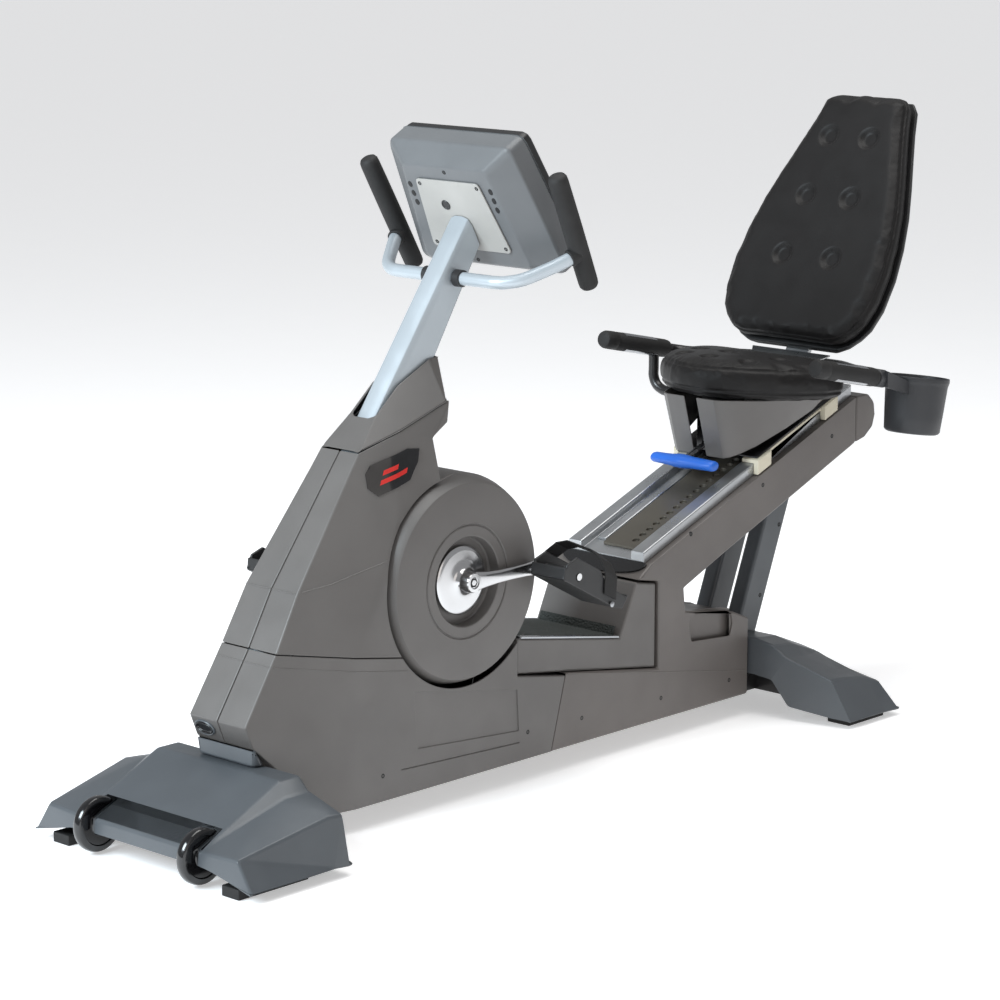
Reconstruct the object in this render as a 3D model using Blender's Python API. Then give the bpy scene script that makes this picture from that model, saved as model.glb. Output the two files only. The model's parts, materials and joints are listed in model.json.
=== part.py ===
"""Recumbent exercise bike as an assembly of separate pieces.

All sizes are metres. X runs from the front wheels back to the seat, Y to the
rider's right and Z up. Pieces are laid out from a station at the front edge
and hung on one root empty that centres the whole bike over the origin.
"""
import math

import bmesh
import bpy
from mathutils import Matrix, Vector

# Driving dimensions
STATION_SHIFT = 1.0490
WALL = 0.003
PARTING = 0.0004
FIT = 0.0006

CRANK_X = 0.705
CRANK_Z = 0.424
CRANK_LENGTH = 0.170
DRUM_R = 0.200
DRUM_CLEARANCE = 0.0007
DRUM_SEGMENTS = 40
SHROUD_HALF = 0.118
SPINDLE_R = 0.010
PEDAL_SPINDLE_R = 0.007
PEDAL_TILT = math.radians(28.0)
PEDAL_IN = 0.165
PEDAL_OUT = 0.250

FLYWHEEL_X = 0.455
FLYWHEEL_Z = 0.240
FLYWHEEL_R = 0.105
PULLEY_R = 0.130
HUB_PULLEY_R = 0.026
BELT_Y0 = 0.068
BELT_Y1 = 0.082

BEAM_X = 1.225
BEAM_Z = 0.386
BEAM_ANGLE = math.atan(0.385)
RAIL_TOP = 0.022
RAIL_HALF = 0.100

WHEEL_X = 0.023
WHEEL_Z = 0.054
WHEEL_R = 0.051
WHEEL_Y = 0.138

SEAT_BAR_Y = 0.280
RECLINE = math.radians(30.0)
BACK_X = 1.762
BACK_Z = 0.729

LEVER_X = 1.560
LEVER_Z = 0.560

LEFT = -1
RIGHT = 1


# Materials
def linear(value):
    value = value / 255.0
    if value <= 0.04045:
        return value / 12.92
    return ((value + 0.055) / 1.055) ** 2.4


def material(name, red, green, blue, roughness, metallic=0.0):
    mat = bpy.data.materials.new(name)
    mat.use_nodes = True
    shader = mat.node_tree.nodes["Principled BSDF"]
    color = (linear(red), linear(green), linear(blue), 1.0)
    shader.inputs["Base Color"].default_value = color
    shader.inputs["Roughness"].default_value = roughness
    shader.inputs["Metallic"].default_value = metallic
    mat.diffuse_color = color
    return mat


LOOKS = {
    "panel_grey": (96, 91, 88, 0.55, 0.0),
    "base_slate": (84, 89, 95, 0.5, 0.0),
    "seat_beam_brown": (98, 90, 85, 0.55, 0.0),
    "mast_silver": (188, 194, 198, 0.38, 0.35),
    "crank_silver": (196, 198, 200, 0.22, 0.9),
    "plate_light_grey": (188, 184, 178, 0.5, 0.0),
    "console_grey": (120, 118, 117, 0.5, 0.0),
    "screen_glass": (20, 24, 26, 0.15, 0.0),
    "black_plastic": (30, 30, 31, 0.5, 0.0),
    "black_gloss": (18, 18, 20, 0.2, 0.0),
    "black_rubber": (24, 24, 25, 0.8, 0.0),
    "black_vinyl": (32, 30, 30, 0.6, 0.0),
    "black_paint": (26, 26, 28, 0.4, 0.3),
    "track_silver": (170, 172, 174, 0.35, 0.85),
    "steel": (160, 162, 165, 0.3, 1.0),
    "cast_iron": (70, 70, 72, 0.5, 0.9),
    "glide_cream": (205, 198, 178, 0.5, 0.0),
    "cup_grey": (70, 72, 76, 0.5, 0.0),
    "lever_blue": (32, 96, 190, 0.35, 0.0),
}


# Mesh helpers
def clear_scene():
    for obj in list(bpy.data.objects):
        bpy.data.objects.remove(obj, do_unlink=True)


def solid(verts, faces, orient=True):
    mesh = bpy.data.meshes.new("solid")
    mesh.from_pydata([tuple(v) for v in verts], [], faces)
    if orient:
        bm = bmesh.new()
        bm.from_mesh(mesh)
        bmesh.ops.recalc_face_normals(bm, faces=bm.faces)
        bm.to_mesh(mesh)
        bm.free()
    obj = bpy.data.objects.new("solid", mesh)
    bpy.context.scene.collection.objects.link(obj)
    return obj


def bake(obj):
    """Replace the mesh with its modified result."""
    bpy.context.view_layer.update()
    graph = bpy.context.evaluated_depsgraph_get()
    mesh = bpy.data.meshes.new_from_object(obj.evaluated_get(graph))
    obj.modifiers.clear()
    obj.data = mesh
    return obj


def combine(obj, tool, operation):
    mod = obj.modifiers.new("combine", "BOOLEAN")
    mod.operation = operation
    mod.solver = "EXACT"
    mod.object = tool
    bake(obj)
    bpy.data.objects.remove(tool, do_unlink=True)
    bm = bmesh.new()
    bm.from_mesh(obj.data)
    bmesh.ops.remove_doubles(bm, verts=bm.verts, dist=0.00001)
    bmesh.ops.dissolve_degenerate(bm, edges=bm.edges, dist=0.00001)
    bm.to_mesh(obj.data)
    bm.free()
    return obj


def add(obj, tool):
    return combine(obj, tool, "UNION")


def cut(obj, tool):
    return combine(obj, tool, "DIFFERENCE")


def union(pieces):
    base = pieces[0]
    for piece in pieces[1:]:
        add(base, piece)
    return base


def prism(outline, y0, y1):
    """Extrude an (x, z) outline along Y."""
    n = len(outline)
    verts = [(x, y0, z) for x, z in outline]
    verts += [(x, y1, z) for x, z in outline]
    faces = [tuple(range(n)), tuple(range(2 * n - 1, n - 1, -1))]
    for i in range(n):
        j = (i + 1) % n
        faces.append((i, j, n + j, n + i))
    return solid(verts, faces)


def box(x0, x1, y0, y1, z0, z1):
    return prism([(x0, z0), (x1, z0), (x1, z1), (x0, z1)], y0, y1)


def loft(rings, closed=False):
    """Skin rings of equal point count; cap the ends unless closed."""
    n = len(rings[0])
    verts = [p for ring in rings for p in ring]
    faces = []
    spans = len(rings) if closed else len(rings) - 1
    for k in range(spans):
        a = k * n
        b = ((k + 1) % len(rings)) * n
        for i in range(n):
            j = (i + 1) % n
            faces.append((a + i, a + j, b + j, b + i))
    if not closed:
        faces.append(tuple(range(n)))
        last = (len(rings) - 1) * n
        faces.append(tuple(range(last + n - 1, last - 1, -1)))
    return solid(verts, faces)


def revolve(profile, matrix, segments, ring=False):
    """Turn (radius, height) points about local Z, then place by the matrix.

    ring=True closes the profile on itself; otherwise its first and last
    points lie on the axis.
    """
    verts = []
    index = []
    for radius, height in profile:
        if radius < 1e-9:
            index.append([len(verts)] * segments)
            verts.append((0.0, 0.0, height))
            continue
        index.append(list(range(len(verts), len(verts) + segments)))
        for k in range(segments):
            angle = 2.0 * math.pi * k / segments
            verts.append((radius * math.cos(angle), radius * math.sin(angle), height))
    faces = []
    steps = len(profile) if ring else len(profile) - 1
    for p in range(steps):
        q = (p + 1) % len(profile)
        for k in range(segments):
            m = (k + 1) % segments
            face = []
            for v in (index[p][k], index[p][m], index[q][m], index[q][k]):
                if v not in face:
                    face.append(v)
            if len(face) > 2:
                faces.append(tuple(face))
    return solid([matrix @ Vector(v) for v in verts], faces)


def along_y(x, z, y=0.0):
    """Local +Z becomes world +Y through (x, z)."""
    turn = Matrix.Rotation(-math.pi / 2.0, 4, "X")
    return Matrix.Translation((x, y, z)) @ turn


def rod_y(x, z, y0, y1, radius, segments=24):
    return revolve([(0, y0), (radius, y0), (radius, y1), (0, y1)], along_y(x, z), segments)


def tube(path, radius, segments=12):
    """Round bar along a path; radius may be a list, one per point."""
    points = [Vector(p) for p in path]
    radii = radius if isinstance(radius, list) else [radius] * len(points)
    rings = []
    side = None
    for i, p in enumerate(points):
        before = points[max(i - 1, 0)]
        after = points[min(i + 1, len(points) - 1)]
        direction = (after - before).normalized()
        if side is None:
            side = direction.orthogonal().normalized()
        side = (side - direction * side.dot(direction)).normalized()
        other = direction.cross(side)
        ring = []
        for k in range(segments):
            angle = 2.0 * math.pi * k / segments
            ring.append(p + (side * math.cos(angle) + other * math.sin(angle)) * radii[i])
        rings.append(ring)
    return loft(rings)


def thicken(obj, wall):
    mod = obj.modifiers.new("wall", "SOLIDIFY")
    mod.thickness = wall
    mod.offset = -1.0
    mod.use_even_offset = True
    mod.use_quality_normals = True
    mod.use_rim = True
    return bake(obj)


def split_faces(obj):
    bm = bmesh.new()
    bm.from_mesh(obj.data)
    bmesh.ops.triangulate(bm, faces=bm.faces)
    bm.to_mesh(obj.data)
    bm.free()
    return obj


def half_shell(points, faces, open_edges, side, wall=WALL):
    """One moulded cover half, hollow, from its outer side surface.

    points: name -> (x, z, half width). faces: strings of point names over the
    side surface. Every rim edge gets a wall to the parting plane unless it is
    named in open_edges.
    """
    index = {name: i for i, name in enumerate(points)}
    verts = [(x, side * w, z) for x, z, w in points.values()]
    polys = [tuple(index[n] for n in face.split()) for face in faces]
    gone = {frozenset(index[n] for n in edge.split()) for edge in open_edges}
    count = {}
    for poly in polys:
        for a, b in zip(poly, poly[1:] + poly[:1]):
            key = frozenset((a, b))
            count[key] = count.get(key, 0) + 1
    flat = {}
    rims = []
    for poly in polys:
        for a, b in zip(poly, poly[1:] + poly[:1]):
            key = frozenset((a, b))
            if count[key] == 1 and key not in gone:
                rims.append((a, b))
    for a, b in rims:
        for v in (a, b):
            if v not in flat:
                flat[v] = len(verts)
                verts.append((verts[v][0], side * PARTING, verts[v][2]))
        polys.append((b, a, flat[a], flat[b]))
    obj = solid(verts, polys, orient=False)
    bm = bmesh.new()
    bm.from_mesh(obj.data)
    bmesh.ops.recalc_face_normals(bm, faces=bm.faces)
    bm.normal_update()
    lean = sum(f.normal.y * f.calc_area() for f in bm.faces)
    if lean * side < 0:
        bmesh.ops.reverse_faces(bm, faces=bm.faces)
    bmesh.ops.triangulate(bm, faces=bm.faces)
    bm.to_mesh(obj.data)
    bm.free()
    return thicken(obj, wall)


ROOT = None
NODES = []


def node(obj, name, look, pivot=(0.0, 0.0, 0.0), sharp=35.0):
    """Name the piece, colour it, put its origin on the pivot, hang it on the root."""
    shift = Vector(pivot)
    for vert in obj.data.vertices:
        vert.co -= shift
    obj.name = name
    obj.data.name = name
    obj.parent = ROOT
    obj.location = shift
    obj.data.materials.clear()
    values = LOOKS[look]
    obj.data.materials.append(material(name + "_" + look, *values))
    for poly in obj.data.polygons:
        poly.use_smooth = True
        poly.material_index = 0
    obj.data.set_sharp_from_angle(angle=math.radians(sharp))
    NODES.append(name)
    return obj


def beam_point(s, h):
    """(x, z) at distance s up the seat beam and height h over its track base."""
    c = math.cos(BEAM_ANGLE)
    n = math.sin(BEAM_ANGLE)
    return (BEAM_X + s * c - (h - RAIL_TOP) * n, BEAM_Z + s * n + (h - RAIL_TOP) * c)


def beam_at(x, h):
    """(x, z) straight above x, at height h square off the track base."""
    rise = math.tan(BEAM_ANGLE) * (x - BEAM_X)
    return (x, BEAM_Z + rise - (RAIL_TOP - h) / math.cos(BEAM_ANGLE))


def back_point(s, y, n):
    """Point on the backrest: s up the cushion, y across, n behind its face."""
    up = (math.sin(RECLINE), math.cos(RECLINE))
    out = (math.cos(RECLINE), -math.sin(RECLINE))
    return (BACK_X + s * up[0] + n * out[0], y, BACK_Z + s * up[1] + n * out[1])


# Frame
def make_main_frame():
    lower = box(0.115, 1.555, -0.03, 0.03, 0.0655, 0.115)
    slope = (0.231 - 0.270) / (0.278 - 0.222)
    z_front = 0.270 + slope * (0.225 - 0.222) - 0.0012
    z_rear = 0.270 + slope * (0.285 - 0.222) - 0.0012
    post = prism([(0.225, 0.10), (0.285, 0.10), (0.285, z_rear), (0.225, z_front)], -0.026, 0.026)
    crank_post = box(0.682, 0.728, -0.026, 0.026, 0.10, 0.424)
    bearing = rod_y(CRANK_X, CRANK_Z, -0.034, 0.034, 0.024)
    bracket = box(0.430, 0.480, -0.010, 0.010, 0.10, 0.262)
    stub = rod_y(FLYWHEEL_X, FLYWHEEL_Z, 0.005, 0.086, 0.008, 16)
    riser = box(1.28, 1.33, -0.025, 0.025, 0.10, 0.36)
    beam = prism([beam_at(1.266, -0.050), beam_at(1.885, -0.050),
                  beam_at(1.885, -FIT), beam_at(1.266, -FIT)], -0.045, 0.045)
    frame = union([lower, post, crank_post, bearing, bracket, stub, riser, beam])
    cut(frame, rod_y(CRANK_X, CRANK_Z, -0.04, 0.04, SPINDLE_R + FIT))
    cut(frame, box(0.105, 1.565, -0.0272, 0.0272, 0.0683, 0.1122))
    cut(frame, box(0.228, 0.282, -0.0234, 0.0234, 0.1100, 0.300))
    cut(frame, box(0.685, 0.725, -0.0234, 0.0234, 0.1100, 0.395))
    cut(frame, box(1.283, 1.327, -0.0222, 0.0222, 0.1100, 0.330))
    cut(frame, prism([beam_at(1.260, -0.047), beam_at(1.890, -0.047),
                      beam_at(1.890, -0.0035), beam_at(1.260, -0.0035)], -0.0421, 0.0421))
    node(frame, "main_frame", "black_paint")


def make_front_stabiliser():
    bar = box(0.100, 0.150, -0.245, 0.245, 0.028, 0.0648)
    pieces = [bar]
    for side in (LEFT, RIGHT):
        for y in (side * 0.1215, side * 0.1545):
            plate = prism([(0.012, 0.046), (0.105, 0.034), (0.105, 0.060), (0.034, 0.066),
                           (0.012, 0.064)], y - 0.002, y + 0.002)
            pieces.append(plate)
        low = min(side * 0.119, side * 0.157)
        high = max(side * 0.119, side * 0.157)
        pieces.append(rod_y(WHEEL_X, WHEEL_Z, low, high, 0.004, 12))
    frame = union(pieces)
    cut(frame, box(0.103, 0.147, -0.26, 0.26, 0.031, 0.0618))
    node(frame, "front_stabiliser", "black_paint")


def make_rear_stabiliser():
    bar = box(1.640, 1.700, -0.300, 0.300, 0.028, 0.064)
    block = box(1.556, 1.700, -0.066, 0.066, 0.030, 0.120)
    frame = add(bar, block)
    cut(frame, box(1.643, 1.697, -0.32, 0.32, 0.031, 0.0611))
    cut(frame, box(1.550, 1.6969, -0.063, 0.063, 0.0331, 0.117))
    node(frame, "rear_stabiliser", "black_paint")


def make_feet():
    for side, word in ((LEFT, "left"), (RIGHT, "right")):
        low = min(side * 0.204, side * 0.248)
        high = max(side * 0.204, side * 0.248)
        pad = box(0.010, 0.175, low, high, 0.0, 0.0195)
        low = min(side * 0.212, side * 0.240)
        high = max(side * 0.212, side * 0.240)
        plug = box(0.060, 0.165, low, high, 0.010, 0.0275)
        node(add(pad, plug), "foot_front_" + word, "black_rubber")
        low = min(side * 0.270, side * 0.326)
        high = max(side * 0.270, side * 0.326)
        pad = box(1.618, 1.735, low, high, 0.0, 0.014)
        low = min(side * 0.276, side * 0.306)
        high = max(side * 0.276, side * 0.306)
        plug = box(1.645, 1.695, low, high, 0.008, 0.0275)
        node(add(pad, plug), "foot_rear_" + word, "black_rubber")


def leg_outline(grow, z_low, drop):
    """Rear leg in (x, z): rear edge, front edge, foot height, top under the beam."""
    lean = Vector((0.3714, 0.9285))
    ahead = Vector((-0.9285, 0.3714))
    rear = Vector((1.641, 0.150)) - ahead * grow
    front = Vector((1.641, 0.150)) + ahead * (0.065 + grow)
    slope = math.tan(BEAM_ANGLE)
    x_b, z_b = beam_point(0.0, -0.050 - drop)

    def at_z(p, z):
        t = (z - p.y) / lean.y
        return (p.x + lean.x * t, z)

    def at_beam(p):
        t = (z_b + slope * (p.x - x_b) - p.y) / (lean.y - slope * lean.x)
        return (p.x + lean.x * t, p.y + lean.y * t)

    return [at_z(front, z_low), at_z(rear, z_low), at_beam(rear), at_beam(front)]


def make_rear_legs():
    for side, word in ((LEFT, "left"), (RIGHT, "right")):
        low = min(side * 0.024, side * 0.062)
        high = max(side * 0.024, side * 0.062)
        leg = prism(leg_outline(0.0, 0.1206, FIT), low, high)
        cut(leg, prism(leg_outline(-0.003, 0.110, -0.010), low + 0.003, high - 0.003))
        node(leg, "rear_leg_" + word, "base_slate")


# Lower covers
def mirror_stations(rows):
    """rows: list of profiles at growing y; returns the full left-to-right list."""
    left = [[(x, -y, z) for x, y, z in row] for row in reversed(rows)]
    return left + rows


def skin_rows(rows):
    n = len(rows[0])
    verts = [p for row in rows for p in row]
    faces = []
    for r in range(len(rows) - 1):
        for i in range(n - 1):
            a = r * n + i
            faces.append((a, a + 1, a + n + 1, a + n))
    obj = solid(verts, faces, orient=False)
    bm = bmesh.new()
    bm.from_mesh(obj.data)
    bmesh.ops.recalc_face_normals(bm, faces=bm.faces)
    bm.normal_update()
    if sum(f.normal.z * f.calc_area() for f in bm.faces) < 0:
        bmesh.ops.reverse_faces(bm, faces=bm.faces)
    bmesh.ops.triangulate(bm, faces=bm.faces)
    bm.to_mesh(obj.data)
    bm.free()
    return thicken(obj, WALL)


def make_front_stabiliser_cover():
    flat = [(0.000, 0.045), (0.003, 0.070), (0.190, 0.158), (0.238, 0.158), (0.250, 0.030)]
    rows = [
        [(x, 0.060, z) for x, z in flat],
        [(x, 0.160, z) for x, z in flat],
        [(0.000, 0.186, 0.042), (0.003, 0.186, 0.071), (0.178, 0.186, 0.134),
         (0.238, 0.186, 0.134), (0.248, 0.186, 0.028)],
        [(0.001, 0.252, 0.028), (0.005, 0.252, 0.073), (0.202, 0.272, 0.113),
         (0.235, 0.272, 0.110), (0.246, 0.272, 0.024)],
        [(0.0015, 0.287, 0.021), (0.004, 0.287, 0.0212), (0.200, 0.287, 0.0212),
         (0.236, 0.287, 0.0212), (0.2455, 0.287, 0.021)],
    ]
    cover = skin_rows(mirror_stations(rows))
    for side in (LEFT, RIGHT):
        y = side * WHEEL_Y
        cut(cover, rod_y(WHEEL_X, WHEEL_Z, y - 0.0155, y + 0.0155, 0.058, 32))
    cut(cover, box(0.222, 0.31, -0.033, 0.033, 0.060, 0.20))
    node(cover, "front_stabiliser_cover", "base_slate")


def make_rear_stabiliser_cover():
    rows = []
    for y in (0.050, 0.130):
        rows.append([(1.550, y, 0.088), (1.5505, y, 0.165), (1.620, y, 0.158),
                     (1.705, y, 0.124), (1.768, y, 0.082), (1.775, y, 0.060)])
    rows.append([(1.556, 0.172, 0.082), (1.5565, 0.172, 0.156), (1.620, 0.172, 0.148),
                 (1.705, 0.172, 0.117), (1.768, 0.172, 0.079), (1.775, 0.172, 0.055)])
    rows.append([(1.566, 0.208, 0.030), (1.567, 0.200, 0.132), (1.630, 0.200, 0.124),
                 (1.705, 0.200, 0.108), (1.766, 0.200, 0.076), (1.774, 0.208, 0.028)])
    rows.append([(1.588, 0.302, 0.018), (1.590, 0.300, 0.097), (1.640, 0.300, 0.094),
                 (1.705, 0.300, 0.084), (1.752, 0.300, 0.066), (1.768, 0.302, 0.017)])
    rows.append([(1.598, 0.345, 0.0155), (1.601, 0.345, 0.0157), (1.645, 0.345, 0.0157),
                 (1.705, 0.345, 0.0157), (1.758, 0.345, 0.0157), (1.765, 0.345, 0.0155)])
    cover = skin_rows(mirror_stations(rows))
    cut(cover, box(1.540, 1.560, -0.033, 0.033, 0.062, 0.118))
    cut(cover, box(1.540, 1.715, -0.0685, 0.0685, 0.020, 0.1215))
    for side in (LEFT, RIGHT):
        low = min(side * 0.0225, side * 0.0635)
        high = max(side * 0.0225, side * 0.0635)
        cut(cover, prism(leg_outline(0.002, 0.110, 0.1), low, high))
    node(cover, "rear_stabiliser_cover", "base_slate")


def rounded_rect(x0, x1, half, r):
    """Plan outline (x, y) with chamfer-rounded corners."""
    pts = []
    for cx, cy, start in ((x1 - r, half - r, 0), (x0 + r, half - r, 90),
                          (x0 + r, -half + r, 180), (x1 - r, -half + r, 270)):
        for step in (0, 45, 90):
            a = math.radians(start + step)
            pts.append((cx + r * math.cos(a), cy + r * math.sin(a)))
    return pts


def make_neck_cover():
    """Short collar under the nose, sloped to lie against the shroud's underside."""
    low = rounded_rect(0.2065, 0.2395, 0.0765, 0.0140)
    high = rounded_rect(0.2075, 0.2105, 0.0755, 0.0014)
    neck = loft([[(x, y, 0.1588) for x, y in low], [(x, y, 0.1900) for x, y in high]])
    cut(neck, box(0.2215, 0.26, -0.029, 0.029, 0.150, 0.210))
    node(neck, "neck_cover", "base_slate")


def make_power_inlet():
    """Oval socket standing just clear of the underside of the nose."""
    under = Vector((0.205 - 0.189, 0.196 - 0.236)).normalized()
    out = Vector((under.y, -under.x))
    centre = Vector((0.197, 0.216))

    def ring(half, tall, off):
        pts = []
        for k in range(16):
            a = 2.0 * math.pi * k / 16
            p = centre + under * (tall * math.sin(a)) + out * off
            pts.append((p.x, 0.040 + half * math.cos(a), p.y))
        return pts

    body = loft([ring(0.0230, 0.0120, 0.0006), ring(0.0230, 0.0120, 0.0050),
                 ring(0.0195, 0.0088, 0.0050), ring(0.0185, 0.0080, 0.0020)])
    node(body, "power_inlet", "black_gloss")


def drum_tool(y0, y1, grow=DRUM_CLEARANCE):
    return revolve([(0, y0), (DRUM_R + grow, y0), (DRUM_R + grow, y1), (0, y1)],
                   along_y(CRANK_X, CRANK_Z), DRUM_SEGMENTS)


def make_upper_shrouds():
    points = {
        "f0": (0.268, 0.356, 0.072), "m0": (0.420, 0.3293, 0.118), "r0": (0.620, 0.294, 0.118),
        "f1": (0.325, 0.455, 0.068), "m1": (0.480, 0.455, 0.116), "r1": (0.660, 0.455, 0.118),
        "f2": (0.3934, 0.545, 0.060), "m2": (0.540, 0.560, 0.104), "r2": (0.655, 0.600, 0.112),
        "f3": (0.473, 0.650, 0.051), "m3": (0.562, 0.675, 0.082), "r3": (0.645, 0.700, 0.096),
        "r3b": (0.690, 0.722, 0.090),
        "f4": (0.499, 0.684, 0.049), "m4": (0.580, 0.715, 0.072), "r4": (0.700, 0.7605, 0.085),
    }
    faces = [
        "f0 m0 m1 f1", "m0 r0 r1 m1", "f1 m1 m2 f2", "m1 r1 r2 m2",
        "f2 m2 m3 f3", "m2 r2 r3 m3", "f3 m3 m4 f4", "m3 r3 r3b r4 m4",
    ]
    gone = ["f0 m0", "m0 r0", "f4 m4", "m4 r4"]
    for side, word in ((LEFT, "left"), (RIGHT, "right")):
        shell = half_shell(points, faces, gone, side)
        cut(shell, drum_tool(-0.15, 0.15))
        node(shell, "upper_shroud_" + word, "panel_grey", sharp=20.0)


def make_lower_shrouds():
    points = {
        "a": (0.2668, 0.3542, 0.072), "b": (0.420, 0.3273, 0.118), "c": (0.620, 0.2920, 0.118),
        "d": (0.700, 0.300, 0.118), "e": (0.850, 0.290, 0.118), "f": (0.850, 0.214, 0.118),
        "g": (0.984, 0.190, 0.118), "h": (0.944, 0.045, 0.118), "i": (0.420, 0.045, 0.118),
        "j": (0.360, 0.045, 0.108), "l": (0.205, 0.196, 0.074),
        "m": (0.189, 0.236, 0.074), "n": (0.420, 0.185, 0.118),
    }
    faces = ["m n b a", "m l n", "l j n", "j i n", "b n i h g f e d c"]
    gone = ["a b", "b c", "c d", "d e", "g h"]
    for side, word in ((LEFT, "left"), (RIGHT, "right")):
        shell = half_shell(points, faces, gone, side)
        cut(shell, drum_tool(-0.15, 0.15))
        cut(shell, box(0.2215, 0.2885, -0.029, 0.029, 0.095, 0.200))
        cut(shell, box(0.270, 0.370, -0.033, 0.033, 0.062, 0.118))
        node(shell, "lower_shroud_" + word, "panel_grey", sharp=20.0)


def rear_cover_top(x):
    x_b, z_b = beam_point(0.0, -0.0006)
    return z_b + math.tan(BEAM_ANGLE) * (x - x_b)


def make_rear_covers():
    points = {
        "A": (0.9454, 0.045, 0.118), "B": (1.545, 0.045, 0.118), "C": (1.545, 0.207, 0.118),
        "D": (1.500, 0.226, 0.118), "E": (1.345, 0.255, 0.118), "F": (1.341, 0.303, 0.117),
        "G": (1.455, 0.349, 0.116), "H": (1.900, 0.523, 0.115),
        "I": (1.900, rear_cover_top(1.900), 0.115),
        "J": (1.235, rear_cover_top(1.235), 0.115),
        "K": (1.203, 0.341, 0.115), "L": (1.262, 0.330, 0.117), "M": (1.262, 0.152, 0.118),
        "N": (0.9868, 0.195, 0.118),
    }
    faces = ["A B C D E M N", "M E F G H I J K L"]
    beam = [beam_at(1.2635, -0.054), beam_at(1.893, -0.054),
            beam_at(1.893, 0.006), beam_at(1.2635, 0.006)]
    for side, word in ((LEFT, "left"), (RIGHT, "right")):
        shell = half_shell(points, faces, ["N A"], side)
        cut(shell, prism(beam, -0.0475, 0.0475))
        low = min(side * 0.0215, side * 0.0645)
        high = max(side * 0.0215, side * 0.0645)
        cut(shell, prism(leg_outline(0.0025, 0.230, 0.004), low, high))
        cut(shell, box(1.53, 1.56, -0.033, 0.033, 0.062, 0.118))
        low = min(side * 0.110, side * 0.125)
        high = max(side * 0.110, side * 0.125)
        handle = [(1.3646, 0.1885), (1.4855, 0.179), (1.494, 0.205), (1.490, 0.2225),
                  (1.475, 0.2305), (1.372, 0.2438), (1.3595, 0.236), (1.356, 0.218)]
        cut(shell, prism(handle, low, high))
        node(shell, "rear_cover_" + word, "seat_beam_brown", sharp=20.0)


def make_beam_end_cap():
    low = (1.9008, 0.523)
    outline = [low, (1.935, 0.530), (1.962, 0.550), (1.970, 0.575), (1.966, 0.602),
               (1.945, 0.622), (1.9008, 0.6215)]
    halves = (0.114, 0.111)
    rings = []
    for y, inset in ((-halves[0], 0.004), (-halves[1] + 0.001, 0.0), (halves[1] - 0.001, 0.0),
                     (halves[0], 0.004)):
        ring = []
        for x, z in outline:
            ring.append((x - inset * (1.0 if x > 1.91 else 0.0), y, z + inset * (0.57 - z) * 8))
        rings.append(ring)
    node(loft(rings), "beam_end_cap", "seat_beam_brown")


# Track and step
def make_seat_track():
    section = [(-0.100, 0.0), (0.100, 0.0), (0.100, 0.020), (0.098, 0.022), (0.068, 0.022),
               (0.066, 0.020), (0.066, 0.006), (-0.066, 0.006), (-0.066, 0.020),
               (-0.068, 0.022), (-0.098, 0.022), (-0.100, 0.020)]
    rings = []
    for x in (1.235, 1.900):
        ring = []
        for y, h in section:
            bx, bz = beam_at(x, h)
            ring.append((bx, y, bz))
        rings.append(ring)
    node(loft(rings), "seat_track", "track_silver")


def make_hole_rack():
    rack = prism([beam_at(1.262, 0.0066), beam_at(1.860, 0.0066), beam_at(1.860, 0.016),
                  beam_at(1.262, 0.016)], -0.045, 0.045)
    holes = None
    for k in range(11):
        s = 0.090 + 0.050 * k
        outline = []
        for a in range(6):
            t = 2.0 * math.pi * (a + 0.5) / 6
            outline.append((s + 0.0110 * math.cos(t), -0.020 + 0.0065 * math.sin(t)))
        rings = []
        for h in (0.000, 0.020):
            ring = []
            for u, y in outline:
                x, z = beam_point(u, h)
                ring.append((x, y, z))
            rings.append(ring)
        hole = loft(rings)
        holes = hole if holes is None else add(holes, hole)
    cut(rack, holes)
    node(rack, "hole_rack", "black_paint")


def make_step():
    outer = [(0.853, 0.2165), (0.853, 0.2855), (1.150, 0.2335), (1.1985, 0.3372),
             (1.2585, 0.3265), (1.2585, 0.1555), (0.986, 0.1975)]
    inner = [(0.856, 0.170), (0.856, 0.2820), (1.1520, 0.2300), (1.2003, 0.3335),
             (1.2555, 0.3237), (1.2555, 0.120), (0.986, 0.150)]
    tray = prism(outer, -0.112, 0.112)
    cut(tray, prism(inner, -0.109, 0.109))
    node(tray, "step_tray", "panel_grey")
    deck = [(0.862, 0.2846), (1.1445, 0.2352), (1.1535, 0.2540), (1.1505, 0.2555),
            (1.1430, 0.2392), (0.862, 0.2885)]
    node(prism(deck, -0.098, 0.098), "step_mat", "black_rubber")


# Drive
def make_drum_covers():
    profile = [(0.031, 0.1005), (0.0853, 0.1005), (0.0853, 0.124), (0.186, 0.124),
               (0.190, 0.118), (0.200, 0.090), (0.200, PARTING), (0.197, PARTING),
               (0.197, 0.0880), (0.1845, 0.121), (0.0883, 0.121),
               (0.0883, 0.0975), (0.031, 0.0975)]
    for side, word in ((LEFT, "left"), (RIGHT, "right")):
        pts = [(r, side * y) for r, y in profile]
        half = revolve(pts, along_y(CRANK_X, CRANK_Z), DRUM_SEGMENTS, ring=True)
        cut(half, box(0.677, 0.733, -0.030, 0.030, 0.20, 0.26))
        if side == RIGHT:
            toward = Vector((FLYWHEEL_X - CRANK_X, FLYWHEEL_Z - CRANK_Z)).normalized()
            across = Vector((-toward.y, toward.x))
            base = Vector((CRANK_X, CRANK_Z))
            corners = []
            for u, v in ((0.150, -0.125), (0.230, -0.125), (0.230, 0.125), (0.150, 0.125)):
                p = base + toward * u + across * v
                corners.append((p.x, p.y))
            cut(half, prism(corners, 0.064, 0.086))
        node(half, "drum_cover_" + word, "panel_grey")


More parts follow.
